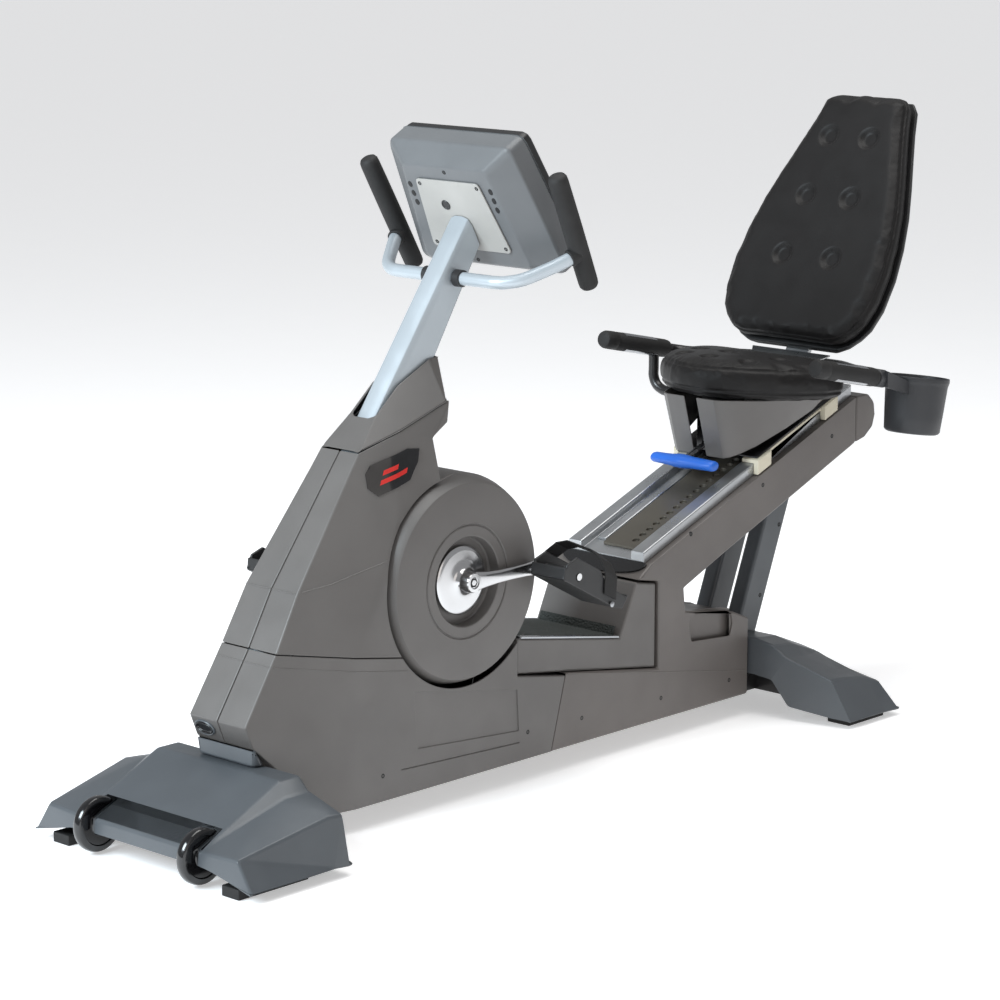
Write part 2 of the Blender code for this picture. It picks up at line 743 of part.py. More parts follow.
def make_crank():
    pivot = (CRANK_X, 0.0, CRANK_Z)
    spindle = revolve([(0, -0.105), (SPINDLE_R, -0.105), (SPINDLE_R, 0.105), (0, 0.105)],
                      along_y(CRANK_X, CRANK_Z), 24)
    node(spindle, "crank_spindle", "steel", pivot)
    bore = SPINDLE_R + 0.0004
    pulley = revolve([(bore, 0.066), (0.020, 0.066), (0.110, 0.072), (PULLEY_R, BELT_Y0),
                      (PULLEY_R, BELT_Y1), (0.110, 0.078), (0.020, 0.084),
                      (bore, 0.084)], along_y(CRANK_X, CRANK_Z), 40, ring=True)
    node(pulley, "crank_pulley", "black_plastic", pivot)
    for side, word in ((LEFT, "left"), (RIGHT, "right")):
        reach = CRANK_LENGTH * (1.0 if side == LEFT else -1.0)
        disc = revolve([(0, side * 0.1054), (0.062, side * 0.1054), (0.065, side * 0.1075),
                        (0.062, side * 0.110), (0.030, side * 0.111), (0.019, side * 0.128),
                        (0.017, side * 0.143), (0, side * 0.143)],
                       along_y(CRANK_X, CRANK_Z), 24)
        outline = []
        for k in range(7):
            a = math.radians(90 + 30 * k)
            outline.append((CRANK_X + math.copysign(1, reach) * 0.0175 * math.cos(a),
                            CRANK_Z + 0.0175 * math.sin(a)))
        for k in range(7):
            a = math.radians(-90 + 30 * k)
            outline.append((CRANK_X + reach + math.copysign(1, reach) * 0.0130 * math.cos(a),
                            CRANK_Z + 0.0130 * math.sin(a)))
        arm = prism(outline, min(side * 0.1285, side * 0.1428), max(side * 0.1285, side * 0.1428))
        axle = rod_y(CRANK_X + reach, CRANK_Z, min(side * 0.135, side * 0.252),
                     max(side * 0.135, side * 0.252), PEDAL_SPINDLE_R, 16)
        bolt = rod_y(CRANK_X, CRANK_Z, min(side * 0.140, side * 0.147),
                     max(side * 0.140, side * 0.147), 0.0085, 6)
        node(union([disc, arm, axle, bolt]), "crank_arm_" + word, "crank_silver", pivot)


def make_flywheel():
    bore = 0.0086
    wheel = revolve([(bore, 0.020), (0.022, 0.020), (0.030, 0.034), (FLYWHEEL_R, 0.034),
                     (FLYWHEEL_R, 0.060), (0.022, 0.060), (0.022, BELT_Y0),
                     (HUB_PULLEY_R, BELT_Y0), (HUB_PULLEY_R, BELT_Y1), (bore, BELT_Y1)],
                    along_y(FLYWHEEL_X, FLYWHEEL_Z), 36, ring=True)
    node(wheel, "flywheel", "cast_iron", (FLYWHEEL_X, 0.0, FLYWHEEL_Z))


def belt_outline(extra):
    big = PULLEY_R + 0.0006 + extra
    small = HUB_PULLEY_R + 0.0006 + extra
    a = Vector((CRANK_X, CRANK_Z))
    b = Vector((FLYWHEEL_X, FLYWHEEL_Z))
    gap = (b - a).length
    heading = math.atan2((b - a).y, (b - a).x)
    swing = math.acos((big - small) / gap)
    points = []
    for k in range(19):
        t = heading + swing + (2.0 * math.pi - 2.0 * swing) * k / 18
        points.append((a.x + big * math.cos(t), a.y + big * math.sin(t)))
    for k in range(11):
        t = heading - swing + 2.0 * swing * k / 10
        points.append((b.x + small * math.cos(t), b.y + small * math.sin(t)))
    return points


def make_belt():
    inner = belt_outline(0.0016)
    outer = belt_outline(0.0042)
    y0 = BELT_Y0 + 0.001
    y1 = BELT_Y1 - 0.001
    rings = [
        [(x, y0, z) for x, z in outer],
        [(x, y1, z) for x, z in outer],
        [(x, y1, z) for x, z in inner],
        [(x, y0, z) for x, z in inner],
    ]
    node(loft(rings, closed=True), "drive_belt", "black_rubber")


def pedal_point(axle_x, along, up):
    c = math.cos(PEDAL_TILT)
    s = math.sin(PEDAL_TILT)
    return (axle_x + along * c + up * s, CRANK_Z - along * s + up * c)


def pedal_prism(axle_x, outline, y0, y1):
    return prism([pedal_point(axle_x, u, v) for u, v in outline], min(y0, y1), max(y0, y1))


def make_pedals():
    for side, word in ((LEFT, "left"), (RIGHT, "right")):
        axle_x = CRANK_X + CRANK_LENGTH * (1.0 if side == LEFT else -1.0)
        pivot = (axle_x, 0.0, CRANK_Z)
        sole = [(-0.036, -0.020), (0.126, -0.020), (0.149, -0.014), (0.153, 0.014),
                (0.147, 0.014), (0.142, -0.008), (0.121, -0.013), (-0.031, -0.013),
                (-0.039, 0.004), (-0.045, 0.002)]
        plate = pedal_prism(axle_x, sole, side * PEDAL_IN, side * PEDAL_OUT)
        barrel = rod_y(axle_x, CRANK_Z, min(side * PEDAL_IN, side * PEDAL_OUT),
                       max(side * PEDAL_IN, side * PEDAL_OUT), 0.015, 20)
        rail = [(-0.039, -0.018), (0.131, -0.018), (0.149, -0.010), (0.151, 0.010),
                (0.086, 0.012), (0.052, 0.032), (-0.020, 0.032), (-0.041, 0.010)]
        inner = pedal_prism(axle_x, rail, side * PEDAL_IN, side * (PEDAL_IN + 0.006))
        outer = pedal_prism(axle_x, rail, side * (PEDAL_OUT - 0.006), side * PEDAL_OUT)
        bridge = pedal_prism(axle_x, [(-0.014, -0.016), (0.014, -0.016), (0.010, 0.0),
                                      (-0.010, 0.0)], side * PEDAL_IN, side * PEDAL_OUT)
        pedal = union([plate, barrel, inner, outer, bridge])
        cut(pedal, rod_y(axle_x, CRANK_Z, -0.30, 0.30, PEDAL_SPINDLE_R + 0.0005, 16))
        node(pedal, "pedal_" + word, "black_plastic", pivot)
        make_strap(side, word, axle_x, pivot)


def make_strap(side, word, axle_x, pivot):
    """Toe strap: from the inner wall by the toe, over the foot, to the outer wall by the heel."""
    centre = side * (PEDAL_IN + PEDAL_OUT) / 2.0
    half = (PEDAL_OUT - PEDAL_IN) / 2.0
    arch = [(-half - 0.0035, 0.0095, -0.002), (-half - 0.0035, 0.034, 0.004),
            (-half + 0.008, 0.056, 0.012), (-half + 0.024, 0.066, 0.022),
            (half - 0.024, 0.064, 0.052), (half - 0.008, 0.054, 0.068),
            (half + 0.0035, 0.034, 0.082), (half + 0.0035, -0.006, 0.100)]
    inner = [(-half - 0.0008, 0.0095, -0.002), (-half - 0.0008, 0.033, 0.004),
             (-half + 0.0098, 0.0540, 0.012), (-half + 0.0250, 0.0634, 0.022),
             (half - 0.0250, 0.0614, 0.052), (half - 0.0098, 0.0520, 0.068),
             (half + 0.0008, 0.033, 0.082), (half + 0.0008, -0.006, 0.100)]
    rings = []
    for offset in (-0.019, 0.019):
        ring = []
        for y, up, along in arch + inner[::-1]:
            x, z = pedal_point(axle_x, along + offset, up)
            ring.append((x, centre + side * y, z))
        rings.append(ring if side == RIGHT else ring[::-1])
    strap = loft(rings)
    split_faces(strap)
    node(strap, "pedal_strap_" + word, "black_rubber", pivot)


def make_transport_wheels():
    for side, word in ((LEFT, "left"), (RIGHT, "right")):
        y = side * WHEEL_Y
        wheel = revolve([(0.0045, y - 0.0105), (0.040, y - 0.0105), (0.049, y - 0.0085),
                         (WHEEL_R, y - 0.004), (WHEEL_R, y + 0.004), (0.049, y + 0.0085),
                         (0.040, y + 0.0105), (0.0045, y + 0.0105)],
                        along_y(WHEEL_X, WHEEL_Z), 28, ring=True)
        node(wheel, "transport_wheel_" + word, "black_gloss", (WHEEL_X, y, WHEEL_Z))


# Mast and console
CONSOLE_BACK = Vector((0.782, 1.224))
CONSOLE_NORMAL = Vector((0.88, 0.475))
CONSOLE_DOWN = Vector((0.475, -0.88))


def console_point(d, y, n):
    """d down the console, y across, n towards the rider."""
    p = CONSOLE_BACK + CONSOLE_DOWN * d + CONSOLE_NORMAL * n
    return (p.x, y, p.y)


def trapezoid(d0, half0, d1, half1, n, round_by=0.0):
    if round_by <= 0.0:
        return [console_point(d0, -half0, n), console_point(d0, half0, n),
                console_point(d1, half1, n), console_point(d1, -half1, n)]
    r = round_by
    q = 0.3 * r
    return [console_point(d0, -half0 + r, n), console_point(d0, half0 - r, n),
            console_point(d0 + q, half0 - q, n), console_point(d0 + r, half0, n),
            console_point(d1 - r, half1, n), console_point(d1 - q, half1 - q, n),
            console_point(d1, half1 - r, n), console_point(d1, -half1 + r, n),
            console_point(d1 - q, -half1 + q, n), console_point(d1 - r, -half1, n),
            console_point(d0 + r, -half0, n), console_point(d0 + q, -half0 + q, n)]


def make_console():
    rings = [
        trapezoid(0.034, 0.108, 0.246, 0.135, -0.033, 0.012),
        trapezoid(0.003, 0.155, 0.272, 0.183, -0.002, 0.016),
        trapezoid(0.000, 0.158, 0.275, 0.186, 0.003, 0.016),
        trapezoid(0.000, 0.158, 0.275, 0.186, 0.044, 0.016),
        trapezoid(0.003, 0.155, 0.272, 0.183, 0.044, 0.014),
        trapezoid(0.006, 0.152, 0.269, 0.180, 0.006, 0.014),
        trapezoid(0.040, 0.102, 0.240, 0.129, -0.029, 0.010),
    ]
    shell = loft(rings)
    node(shell, "console_back", "console_grey")
    rings = [
        trapezoid(0.001, 0.157, 0.274, 0.185, 0.0445, 0.016),
        trapezoid(0.001, 0.157, 0.274, 0.185, 0.058, 0.016),
        trapezoid(0.006, 0.152, 0.269, 0.180, 0.064, 0.014),
        trapezoid(0.018, 0.132, 0.205, 0.150, 0.064, 0.008),
        trapezoid(0.022, 0.128, 0.201, 0.146, 0.0575, 0.008),
        trapezoid(0.022, 0.128, 0.201, 0.146, 0.0445, 0.008),
    ]
    node(loft(rings, closed=True), "console_front", "black_plastic")
    rings = [
        trapezoid(0.0228, 0.1272, 0.2002, 0.1452, 0.0500, 0.008),
        trapezoid(0.0228, 0.1272, 0.2002, 0.1452, 0.0565, 0.008),
    ]
    node(loft(rings), "console_screen", "screen_glass")
    rings = [
        trapezoid(0.061, 0.081, 0.213, 0.100, -0.0335, 0.008),
        trapezoid(0.061, 0.081, 0.213, 0.100, -0.0370, 0.008),
    ]
    node(loft(rings), "console_plate", "plate_light_grey")


MAST_HALF = 0.027


def mast_ring(front, rear, half=MAST_HALF, front_r=0.018, rear_r=0.006, grow=0.0):
    """Rounded rectangle between a front and a rear (x, z) point."""
    f = Vector(front)
    r = Vector(rear)
    depth = (r - f).length
    axis = (r - f) / depth
    f = f - axis * grow
    depth = depth + 2.0 * grow
    half = half + grow
    pts = []
    for cx, cy, rad, start in ((front_r, half - front_r, front_r, 90),
                               (front_r, -(half - front_r), front_r, 180),
                               (depth - rear_r, -(half - rear_r), rear_r, 270),
                               (depth - rear_r, half - rear_r, rear_r, 0)):
        for step in (0, 45, 90):
            a = math.radians(start + step)
            d = cx + rad * math.cos(a)
            y = cy + rad * math.sin(a)
            p = f + axis * d
            pts.append((p.x, y, p.y))
    return pts


def make_mast():
    rings = [
        mast_ring((0.222, 0.270), (0.278, 0.231)),
        mast_ring((0.6587, 0.873), (0.720, 0.829)),
        mast_ring((0.8130, 1.0861), (0.8438, 1.0288)),
    ]
    mast = loft(rings)
    cut(mast, loft([
        mast_ring((0.2103, 0.2538), (0.2663, 0.2148), grow=-0.003),
        mast_ring((0.6587, 0.873), (0.720, 0.829), grow=-0.003),
        mast_ring((0.8300, 1.1096), (0.8590, 1.0530), grow=-0.003),
    ]))
    cut(mast, rod_y(0.775, 0.976, -0.05, 0.05, 0.0131, 20))
    node(mast, "mast", "mast_silver")


def make_mast_collar():
    def low(x):
        return 0.6855 + (0.7632 - 0.6855) / (0.700 - 0.499) * (x - 0.499)

    def ring(points):
        left = [(x, -y, z) for x, y, z in points]
        right = [(x, y, z) for x, y, z in reversed(points)]
        return left + right

    outer_low = [(0.499, 0.030, low(0.499)), (0.503, 0.049, low(0.503)),
                 (0.580, 0.072, low(0.580)), (0.692, 0.085, low(0.692)),
                 (0.700, 0.076, low(0.700)), (0.700, 0.030, low(0.700))]
    outer_high = [(0.5525, 0.020, 0.7390), (0.560, 0.0320, 0.7440), (0.615, 0.0325, 0.7920),
                  (0.700, 0.0325, 0.8330), (0.727, 0.0280, 0.8350), (0.7285, 0.014, 0.8352)]
    inner_high = [(0.5560, 0.018, 0.7370), (0.563, 0.0292, 0.7420), (0.617, 0.0294, 0.7900),
                  (0.700, 0.0294, 0.8300), (0.7240, 0.0275, 0.8320), (0.7250, 0.0134, 0.8320)]
    inner_low = [(0.5022, 0.0285, low(0.5022)), (0.506, 0.0462, low(0.506)),
                 (0.581, 0.0690, low(0.581)), (0.690, 0.0818, low(0.690)),
                 (0.697, 0.0740, low(0.697)), (0.697, 0.0285, low(0.697))]
    collar = loft([ring(outer_low), ring(outer_high), ring(inner_high), ring(inner_low)],
                  closed=True)
    split_faces(collar)
    cut(collar, loft([mast_ring((0.44, 0.5711), (0.5084, 0.5263), grow=0.0012),
                      mast_ring((0.6587, 0.873), (0.720, 0.829), grow=0.0012)]))
    node(collar, "mast_collar", "panel_grey", sharp=25.0)


def make_handlebar():
    path = [(0.8785, -0.2295, 1.024), (0.868, -0.224, 1.0175), (0.842, -0.206, 1.003),
            (0.803, -0.176, 0.984), (0.782, -0.148, 0.976), (0.775, -0.120, 0.976),
            (0.775, 0.120, 0.976), (0.782, 0.148, 0.976), (0.803, 0.176, 0.984),
            (0.842, 0.206, 1.003), (0.868, 0.224, 1.0175), (0.8785, 0.2295, 1.024)]
    node(tube(path, 0.0125, 12), "handlebar", "mast_silver")
    for side, word in ((LEFT, "left"), (RIGHT, "right")):
        top = Vector((0.815, side * 0.244, 1.179))
        low = Vector((0.928, side * 0.226, 0.961))
        axis = (low - top).normalized()
        path = []
        radii = []
        for t, r in ((0.0, 0.010), (0.004, 0.0158), (0.012, 0.0182), (0.120, 0.0190),
                     (0.236, 0.0182), (0.243, 0.0158), (0.2465, 0.010)):
            path.append(top + axis * t)
            radii.append(r)
        grip = tube(path, radii, 16)
        sock = Vector((0.868, side * 0.224, 1.0175))
        end = Vector((0.902, side * 0.238, 1.036))
        head = (end - sock).normalized()
        socket = tube([sock + head * 0.004, end], 0.0165, 16)
        add(grip, socket)
        hole = tube([sock - head * 0.010, sock + head * 0.0155], 0.0139, 16)
        cut(grip, hole)
        node(grip, "handlebar_grip_" + word, "black_rubber")


# Seat
def make_glide_shoes():
    block = [(0.0700, 0.0226), (0.1006, 0.0226), (0.1006, 0.0020), (0.1135, 0.0020),
             (0.1135, 0.0298), (0.0700, 0.0298)]
    strip = [(0.0740, 0.0226), (0.1006, 0.0226), (0.1006, 0.0212), (0.1030, 0.0212),
             (0.1030, 0.0270), (0.0740, 0.0270)]
    stations = [(1.575, block), (1.618, block), (1.621, strip), (1.792, strip),
                (1.795, block), (1.838, block)]
    for side, word in ((LEFT, "left"), (RIGHT, "right")):
        rings = []
        for x, section in stations:
            ring = []
            for y, h in section:
                bx, bz = beam_at(x, h)
                ring.append((bx, side * y, bz))
            rings.append(ring)
        node(loft(rings), "glide_shoe_" + word, "glide_cream")


def pad_bottom(x):
    return 0.660 - 0.060 * (x - 1.490)


def seat_bar_path():
    half = [(1.546, SEAT_BAR_Y), (1.750, SEAT_BAR_Y), (1.772, 0.272), (1.793, 0.246),
            (1.836, 0.150), (1.853, 0.112), (1.857, 0.080)]
    right = [(x, y, max(seat_bar_z(x), 0.690)) for x, y in half]
    left = [(x, -y, z) for x, y, z in right]
    return left + right[::-1]


def seat_strut_path():
    return [(1.705, SEAT_BAR_Y, seat_bar_z(1.705)), (1.705, 0.280, 0.645), (1.705, 0.272, 0.628),
            (1.705, 0.256, 0.6185), (1.705, 0.235, 0.616), (1.705, 0.0562, 0.616)]


def make_seat_carriage():
    low0 = beam_at(1.580, 0.0302)
    low1 = beam_at(1.832, 0.0302)
    outer = [low0, low1, (1.832, 0.6365), (1.755, 0.6365), (1.600, pad_bottom(1.600) - 0.001),
             (1.580, 0.600)]
    inner = [beam_at(1.584, 0.010), beam_at(1.826, 0.010),
             (1.826, 0.6330), (1.755, 0.6325), (1.602, pad_bottom(1.602) - 0.005),
             (1.584, 0.602)]
    body = prism(outer, -0.055, 0.055)
    cut(body, prism(inner, -0.051, 0.051))
    for side in (LEFT, RIGHT):
        flange = prism([low0, low1, beam_at(1.832, 0.0342), beam_at(1.580, 0.0342)],
                       min(side * 0.053, side * 0.106),
                       max(side * 0.053, side * 0.106))
        add(body, flange)
        lug = prism([(1.552, 0.553), (1.568, 0.551), (1.590, 0.575), (1.590, 0.600),
                     (1.572, 0.590), (1.552, 0.568)],
                    min(side * 0.0145, side * 0.0195), max(side * 0.0145, side * 0.0195))
        add(body, lug)
    add(body, rod_y(LEVER_X, LEVER_Z, -0.018, 0.018, 0.004, 12))
    node(body, "seat_carriage", "black_paint")


SKIRT_TOP = [(1.4905, 0.016), (1.4905, 0.062), (1.4990, 0.077), (1.530, 0.098),
             (1.580, 0.125), (1.660, 0.147), (1.740, 0.150), (1.766, 0.138),
             (1.772, 0.110), (1.772, 0.040)]
SKIRT_LOW = [(1.5265, 0.016), (1.5265, 0.060), (1.5330, 0.072), (1.550, 0.085),
             (1.585, 0.100), (1.660, 0.116), (1.735, 0.124), (1.759, 0.120),
             (1.768, 0.102), (1.768, 0.040)]


def inset(points, amount):
    """Move an open plan outline inward (to its right-hand side)."""
    out = []
    n = len(points)
    for i, p in enumerate(points):
        a = Vector(points[max(i - 1, 0)])
        b = Vector(points[min(i + 1, n - 1)])
        d = (b - a).normalized()
        out.append((p[0] + d.y * amount, p[1] - d.x * amount))
    out[0] = (out[0][0], points[0][1])
    out[-1] = (out[-1][0], points[-1][1])
    return out


def make_seat_skirt():
    def rail(x):
        return BEAM_Z + 0.385 * (x - BEAM_X) + 0.031

    def level(points, height):
        left = [(x, -y, height(x)) for x, y in points]
        right = [(x, y, height(x)) for x, y in reversed(points)]
        return left + right

    def top(x):
        return pad_bottom(x) - 0.0008

    rings = [level(SKIRT_LOW, rail), level(SKIRT_TOP, top),
             level(inset(SKIRT_TOP, WALL), top), level(inset(SKIRT_LOW, WALL), rail)]
    n = len(rings[0])
    verts = [p for ring in rings for p in ring]
    faces = []
    for k in range(4):
        a = k * n
        b = ((k + 1) % 4) * n
        for i in range(n - 1):
            faces.append((a + i, a + i + 1, b + i + 1, b + i))
    faces.append((0, n, 2 * n, 3 * n))
    faces.append((n - 1, 4 * n - 1, 3 * n - 1, 2 * n - 1))
    skirt = solid(verts, faces)
    split_faces(skirt)
    cut(skirt, tube([(1.705, 0.10, 0.616), (1.705, 0.20, 0.616)], 0.0140, 16))
    cut(skirt, box(1.750, 1.785, -0.0575, 0.0575, 0.600, 0.6378))
    node(skirt, "seat_skirt", "panel_grey", sharp=30.0)


PAD_PLAN = [(1.4880, 0.000), (1.4910, 0.034), (1.5040, 0.070), (1.5340, 0.117),
            (1.5740, 0.159), (1.6260, 0.191), (1.6860, 0.211), (1.7380, 0.209),
            (1.7680, 0.188), (1.7760, 0.140), (1.7760, 0.060), (1.7760, 0.000)]


def make_seat_pad():
    centre_x = 1.648
    loop = [(x, -y) for x, y in PAD_PLAN] + [(x, y) for x, y in PAD_PLAN[-2:0:-1]]

    def ring(scale, lift, crown=0.0):
        pts = []
        for x, y in loop:
            px = centre_x + (x - centre_x) * scale
            py = y * scale
            pts.append((px, py, pad_bottom(px) + lift + crown))
        return pts

    rings = [ring(0.93, 0.0), ring(0.985, 0.008), ring(1.0, 0.028), ring(0.985, 0.052),
             ring(0.92, 0.068), ring(0.70, 0.076), ring(0.35, 0.079)]
    node(loft(rings), "seat_pad", "black_vinyl", sharp=60.0)


BACK_PLAN = [(0.030, 0.124), (0.042, 0.150), (0.062, 0.172), (0.085, 0.188), (0.130, 0.201),
             (0.200, 0.204), (0.270, 0.197), (0.340, 0.183), (0.405, 0.164), (0.470, 0.143),
             (0.530, 0.124), (0.580, 0.111), (0.600, 0.095)]


def make_backrest():
    rings = []
    last = len(BACK_PLAN) - 1
    for i, (s, w) in enumerate(BACK_PLAN):
        end = i in (0, last)
        near = 0.014 if end else 0.0
        far = 0.044 if end else 0.0525
        mid = (near + far) / 2.0
        ring = [(-w, mid), (-w + 0.005, near + 0.010), (-w + 0.020, near + 0.002), (0.0, near),
                (w - 0.020, near + 0.002), (w - 0.005, near + 0.010), (w, mid),
                (w - 0.004, far - 0.004), (w - 0.012, far), (0.0, far), (-w + 0.012, far),
                (-w + 0.004, far - 0.004)]
        rings.append([back_point(s, y, n) for y, n in ring])
    node(loft(rings), "backrest_pad", "black_vinyl", sharp=60.0)
    rings = []
    for s, w in BACK_PLAN:
        w = w - 0.004
        ring = [(-w, 0.0535), (w, 0.0535), (w - 0.002, 0.064), (w - 0.016, 0.074),
                (-w + 0.016, 0.074), (-w + 0.002, 0.064)]
        rings.append([back_point(s, y, n) for y, n in ring])
    node(loft(rings), "backrest_shell", "black_plastic", sharp=30.0)


def make_backrest_bracket():
    def behind(s, n):
        p = back_point(s, 0.0, n)
        return (p[0], p[2])

    post = prism([(1.790, 0.6371), (1.8315, 0.6371), behind(0.015, 0.086), behind(0.290, 0.086),
                  behind(0.290, 0.0748), behind(0.018, 0.0748), (1.814, 0.7115),
                  (1.790, 0.7020)], -0.030, 0.030)
    plate = loft([
        [(1.780, -0.077, 0.6960), (1.780, 0.077, 0.6960), (1.780, 0.077, 0.6995),
         (1.780, -0.077, 0.6995)],
        [(1.8215, -0.104, 0.7140), (1.8215, 0.104, 0.7140), (1.8215, 0.104, 0.7175),
         (1.8215, -0.104, 0.7175)],
    ])
    node(add(post, plate), "backrest_bracket", "track_silver")


def seat_bar_z(x):
    return 0.743 - 0.2126 * (x - 1.539)


def make_seat_handlebar():
    bar = union([tube(seat_bar_path(), 0.0125, 12), tube(seat_strut_path(), 0.0110, 12)])
    node(bar, "seat_handlebar", "black_paint")
    for side, word in ((LEFT, "left"), (RIGHT, "right")):
        y = side * SEAT_BAR_Y
        end = 1.738 if side == LEFT else 1.745
        path = []
        radii = []
        for x, r in ((1.539, 0.013), (1.542, 0.018), (1.548, 0.0195), (end - 0.009, 0.0195),
                     (end - 0.003, 0.0185), (end, 0.0150)):
            path.append((x, y, seat_bar_z(x)))
            radii.append(r)
        grip = tube(path, radii, 16)
        cut(grip, tube([(1.5455, y, seat_bar_z(1.5455)), (1.82, y, seat_bar_z(1.82))],
                       0.0132, 16))
        if side == RIGHT:
            cut(grip, tube(seat_strut_path()[:2], 0.0118, 16))
        node(grip, "seat_grip_" + word, "black_rubber")


def make_cup_holder():
    place = (Matrix.Translation((1.873, -0.278, 0.568))
             @ Matrix.Rotation(math.radians(8.0), 4, "Y"))
    cup = revolve([(0, 0.0), (0.054, 0.0), (0.0580, 0.004), (0.0645, 0.100), (0.0670, 0.108),
                   (0.0670, 0.118), (0.0635, 0.118), (0.0610, 0.100), (0.0540, 0.006),
                   (0, 0.005)], place, 24)
    clamp = tube([(1.7395, -SEAT_BAR_Y, seat_bar_z(1.7395)),
                  (1.768, -SEAT_BAR_Y, seat_bar_z(1.768))], 0.0185, 16)
    arm = prism([(1.755, 0.680), (1.838, 0.652), (1.838, 0.683), (1.755, 0.7135)],
                -0.3020, -0.2935)
    room = revolve([(0, 0.006), (0.0542, 0.006), (0.0612, 0.100), (0.0637, 0.13), (0, 0.13)],
                   place, 24)
    cut(arm, room)
    cup = union([cup, clamp, arm])
    cut(cup, tube([(x, -y, seat_bar_z(x)) for x, y in ((1.730, 0.280), (1.750, 0.280),
                                                      (1.772, 0.272), (1.793, 0.246))],
                  0.0131, 16))
    node(cup, "cup_holder", "cup_grey")


def make_seat_lever():
    pivot = (LEVER_X, 0.0, LEVER_Z)
    rod = tube([(LEVER_X - 0.004, 0.0, LEVER_Z), (1.520, 0.0, 0.5475), (1.480, 0.0, 0.5335)],
               0.006, 12)
    hub = rod_y(LEVER_X, LEVER_Z, -0.012, 0.012, 0.0105, 16)
    rings = []
    for y, r in ((-0.090, 0.006), (-0.086, 0.0105), (-0.040, 0.0115), (0.0, 0.0150),
                 (0.030, 0.0115), (0.071, 0.0105), (0.075, 0.006)):
        ring = []
        for k in range(10):
            a = 2.0 * math.pi * k / 10
            ring.append((1.4665 + 1.35 * r * math.cos(a), y, 0.5290 + r * math.sin(a)))
        rings.append(ring)
    paddle = loft(rings)
    lever = union([rod, hub, paddle])
    cut(lever, rod_y(LEVER_X, LEVER_Z, -0.03, 0.03, 0.0046, 12))
    node(lever, "seat_lever", "lever_blue", pivot)


def build():
    global ROOT
    clear_scene()
    ROOT = bpy.data.objects.new("bike_origin", None)
    ROOT.location = (-STATION_SHIFT, 0.0, 0.0)
    bpy.context.scene.collection.objects.link(ROOT)
    make_main_frame()
    make_front_stabiliser()
    make_rear_stabiliser()
    make_feet()
    make_rear_legs()
    make_front_stabiliser_cover()
    make_rear_stabiliser_cover()
    make_neck_cover()
    make_power_inlet()
    make_upper_shrouds()
    make_lower_shrouds()
    make_rear_covers()
    make_beam_end_cap()
    make_seat_track()
    make_hole_rack()
    make_step()
    make_drum_covers()
    make_crank()
    make_flywheel()
    make_belt()
    make_pedals()
    make_transport_wheels()
    make_console()
    make_mast()
    make_mast_collar()
    make_handlebar()
    make_glide_shoes()
    make_seat_carriage()
    make_seat_skirt()
    make_seat_pad()
    make_backrest()
    make_backrest_bracket()
    make_seat_handlebar()
    make_cup_holder()
    make_seat_lever()


build()
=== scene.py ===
import contextlib
import json
import math

import bmesh
import bpy
from mathutils import Matrix, Vector
from mathutils.bvhtree import BVHTree

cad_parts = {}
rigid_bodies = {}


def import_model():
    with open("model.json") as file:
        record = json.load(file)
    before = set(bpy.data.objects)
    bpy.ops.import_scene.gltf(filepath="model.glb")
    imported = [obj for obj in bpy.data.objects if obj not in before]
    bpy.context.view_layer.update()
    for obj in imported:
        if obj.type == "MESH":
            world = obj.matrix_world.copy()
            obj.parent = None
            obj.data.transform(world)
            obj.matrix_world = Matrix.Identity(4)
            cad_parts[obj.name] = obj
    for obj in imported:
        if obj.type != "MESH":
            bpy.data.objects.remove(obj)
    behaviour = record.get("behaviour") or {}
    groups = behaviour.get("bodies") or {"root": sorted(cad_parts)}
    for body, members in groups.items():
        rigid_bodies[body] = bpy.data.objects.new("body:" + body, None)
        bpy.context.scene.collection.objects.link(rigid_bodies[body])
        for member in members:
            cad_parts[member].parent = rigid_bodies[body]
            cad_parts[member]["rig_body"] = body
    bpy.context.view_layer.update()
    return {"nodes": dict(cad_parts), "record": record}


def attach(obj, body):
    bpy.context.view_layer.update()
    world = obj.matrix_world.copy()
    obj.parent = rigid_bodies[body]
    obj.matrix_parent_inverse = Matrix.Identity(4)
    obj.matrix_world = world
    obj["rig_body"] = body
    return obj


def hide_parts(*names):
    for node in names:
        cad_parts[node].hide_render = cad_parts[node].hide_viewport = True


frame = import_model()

NODES = frame["nodes"]
SLOTS = {row["node"]: row["material_slot"] for row in frame["record"]["subparts"]}

# Lengths are in metres. x is counted in stations that at() moves to the frame, y runs to the
# rider's right and z up.
STATION_SHIFT = 1.0490
CRANK_X = 0.705
CRANK_Z = 0.424
CRANK_REACH = 0.170
BEAM_SLOPE = 0.385
BEAM_X = 1.225
BEAM_Z = 0.386
RAIL_TOP = 0.022
DRUM_SEGMENTS = 96
BAR_RADIUS = 0.0125
SEAT_BAR_Y = 0.280
SIDES = ((-1, "left"), (1, "right"))
# Most of a narrow face's width that the rounding of its edge takes
ROUND_SHARE = 0.38


def at(x, y, z):
    """Station coordinates to the frame's."""
    return Vector((x - STATION_SHIFT, y, z))


def beam(x, y, h):
    """Point over station x of the seat beam, height h square off the track base."""
    rise = BEAM_SLOPE * (x - BEAM_X)
    return at(x, y, BEAM_Z + rise - (RAIL_TOP - h) / math.cos(math.atan(BEAM_SLOPE)))


def circle(count):
    """Cosine and sine of count even angles round a full turn."""
    angles = [2 * math.pi * k / count for k in range(count)]
    return [(math.cos(a), math.sin(a)) for a in angles]


# Materials
def linear(value):
    """Linear light of an 8-bit sRGB value."""
    value = value / 255.0
    return value / 12.92 if value <= 0.04045 else ((value + 0.055) / 1.055) ** 2.4


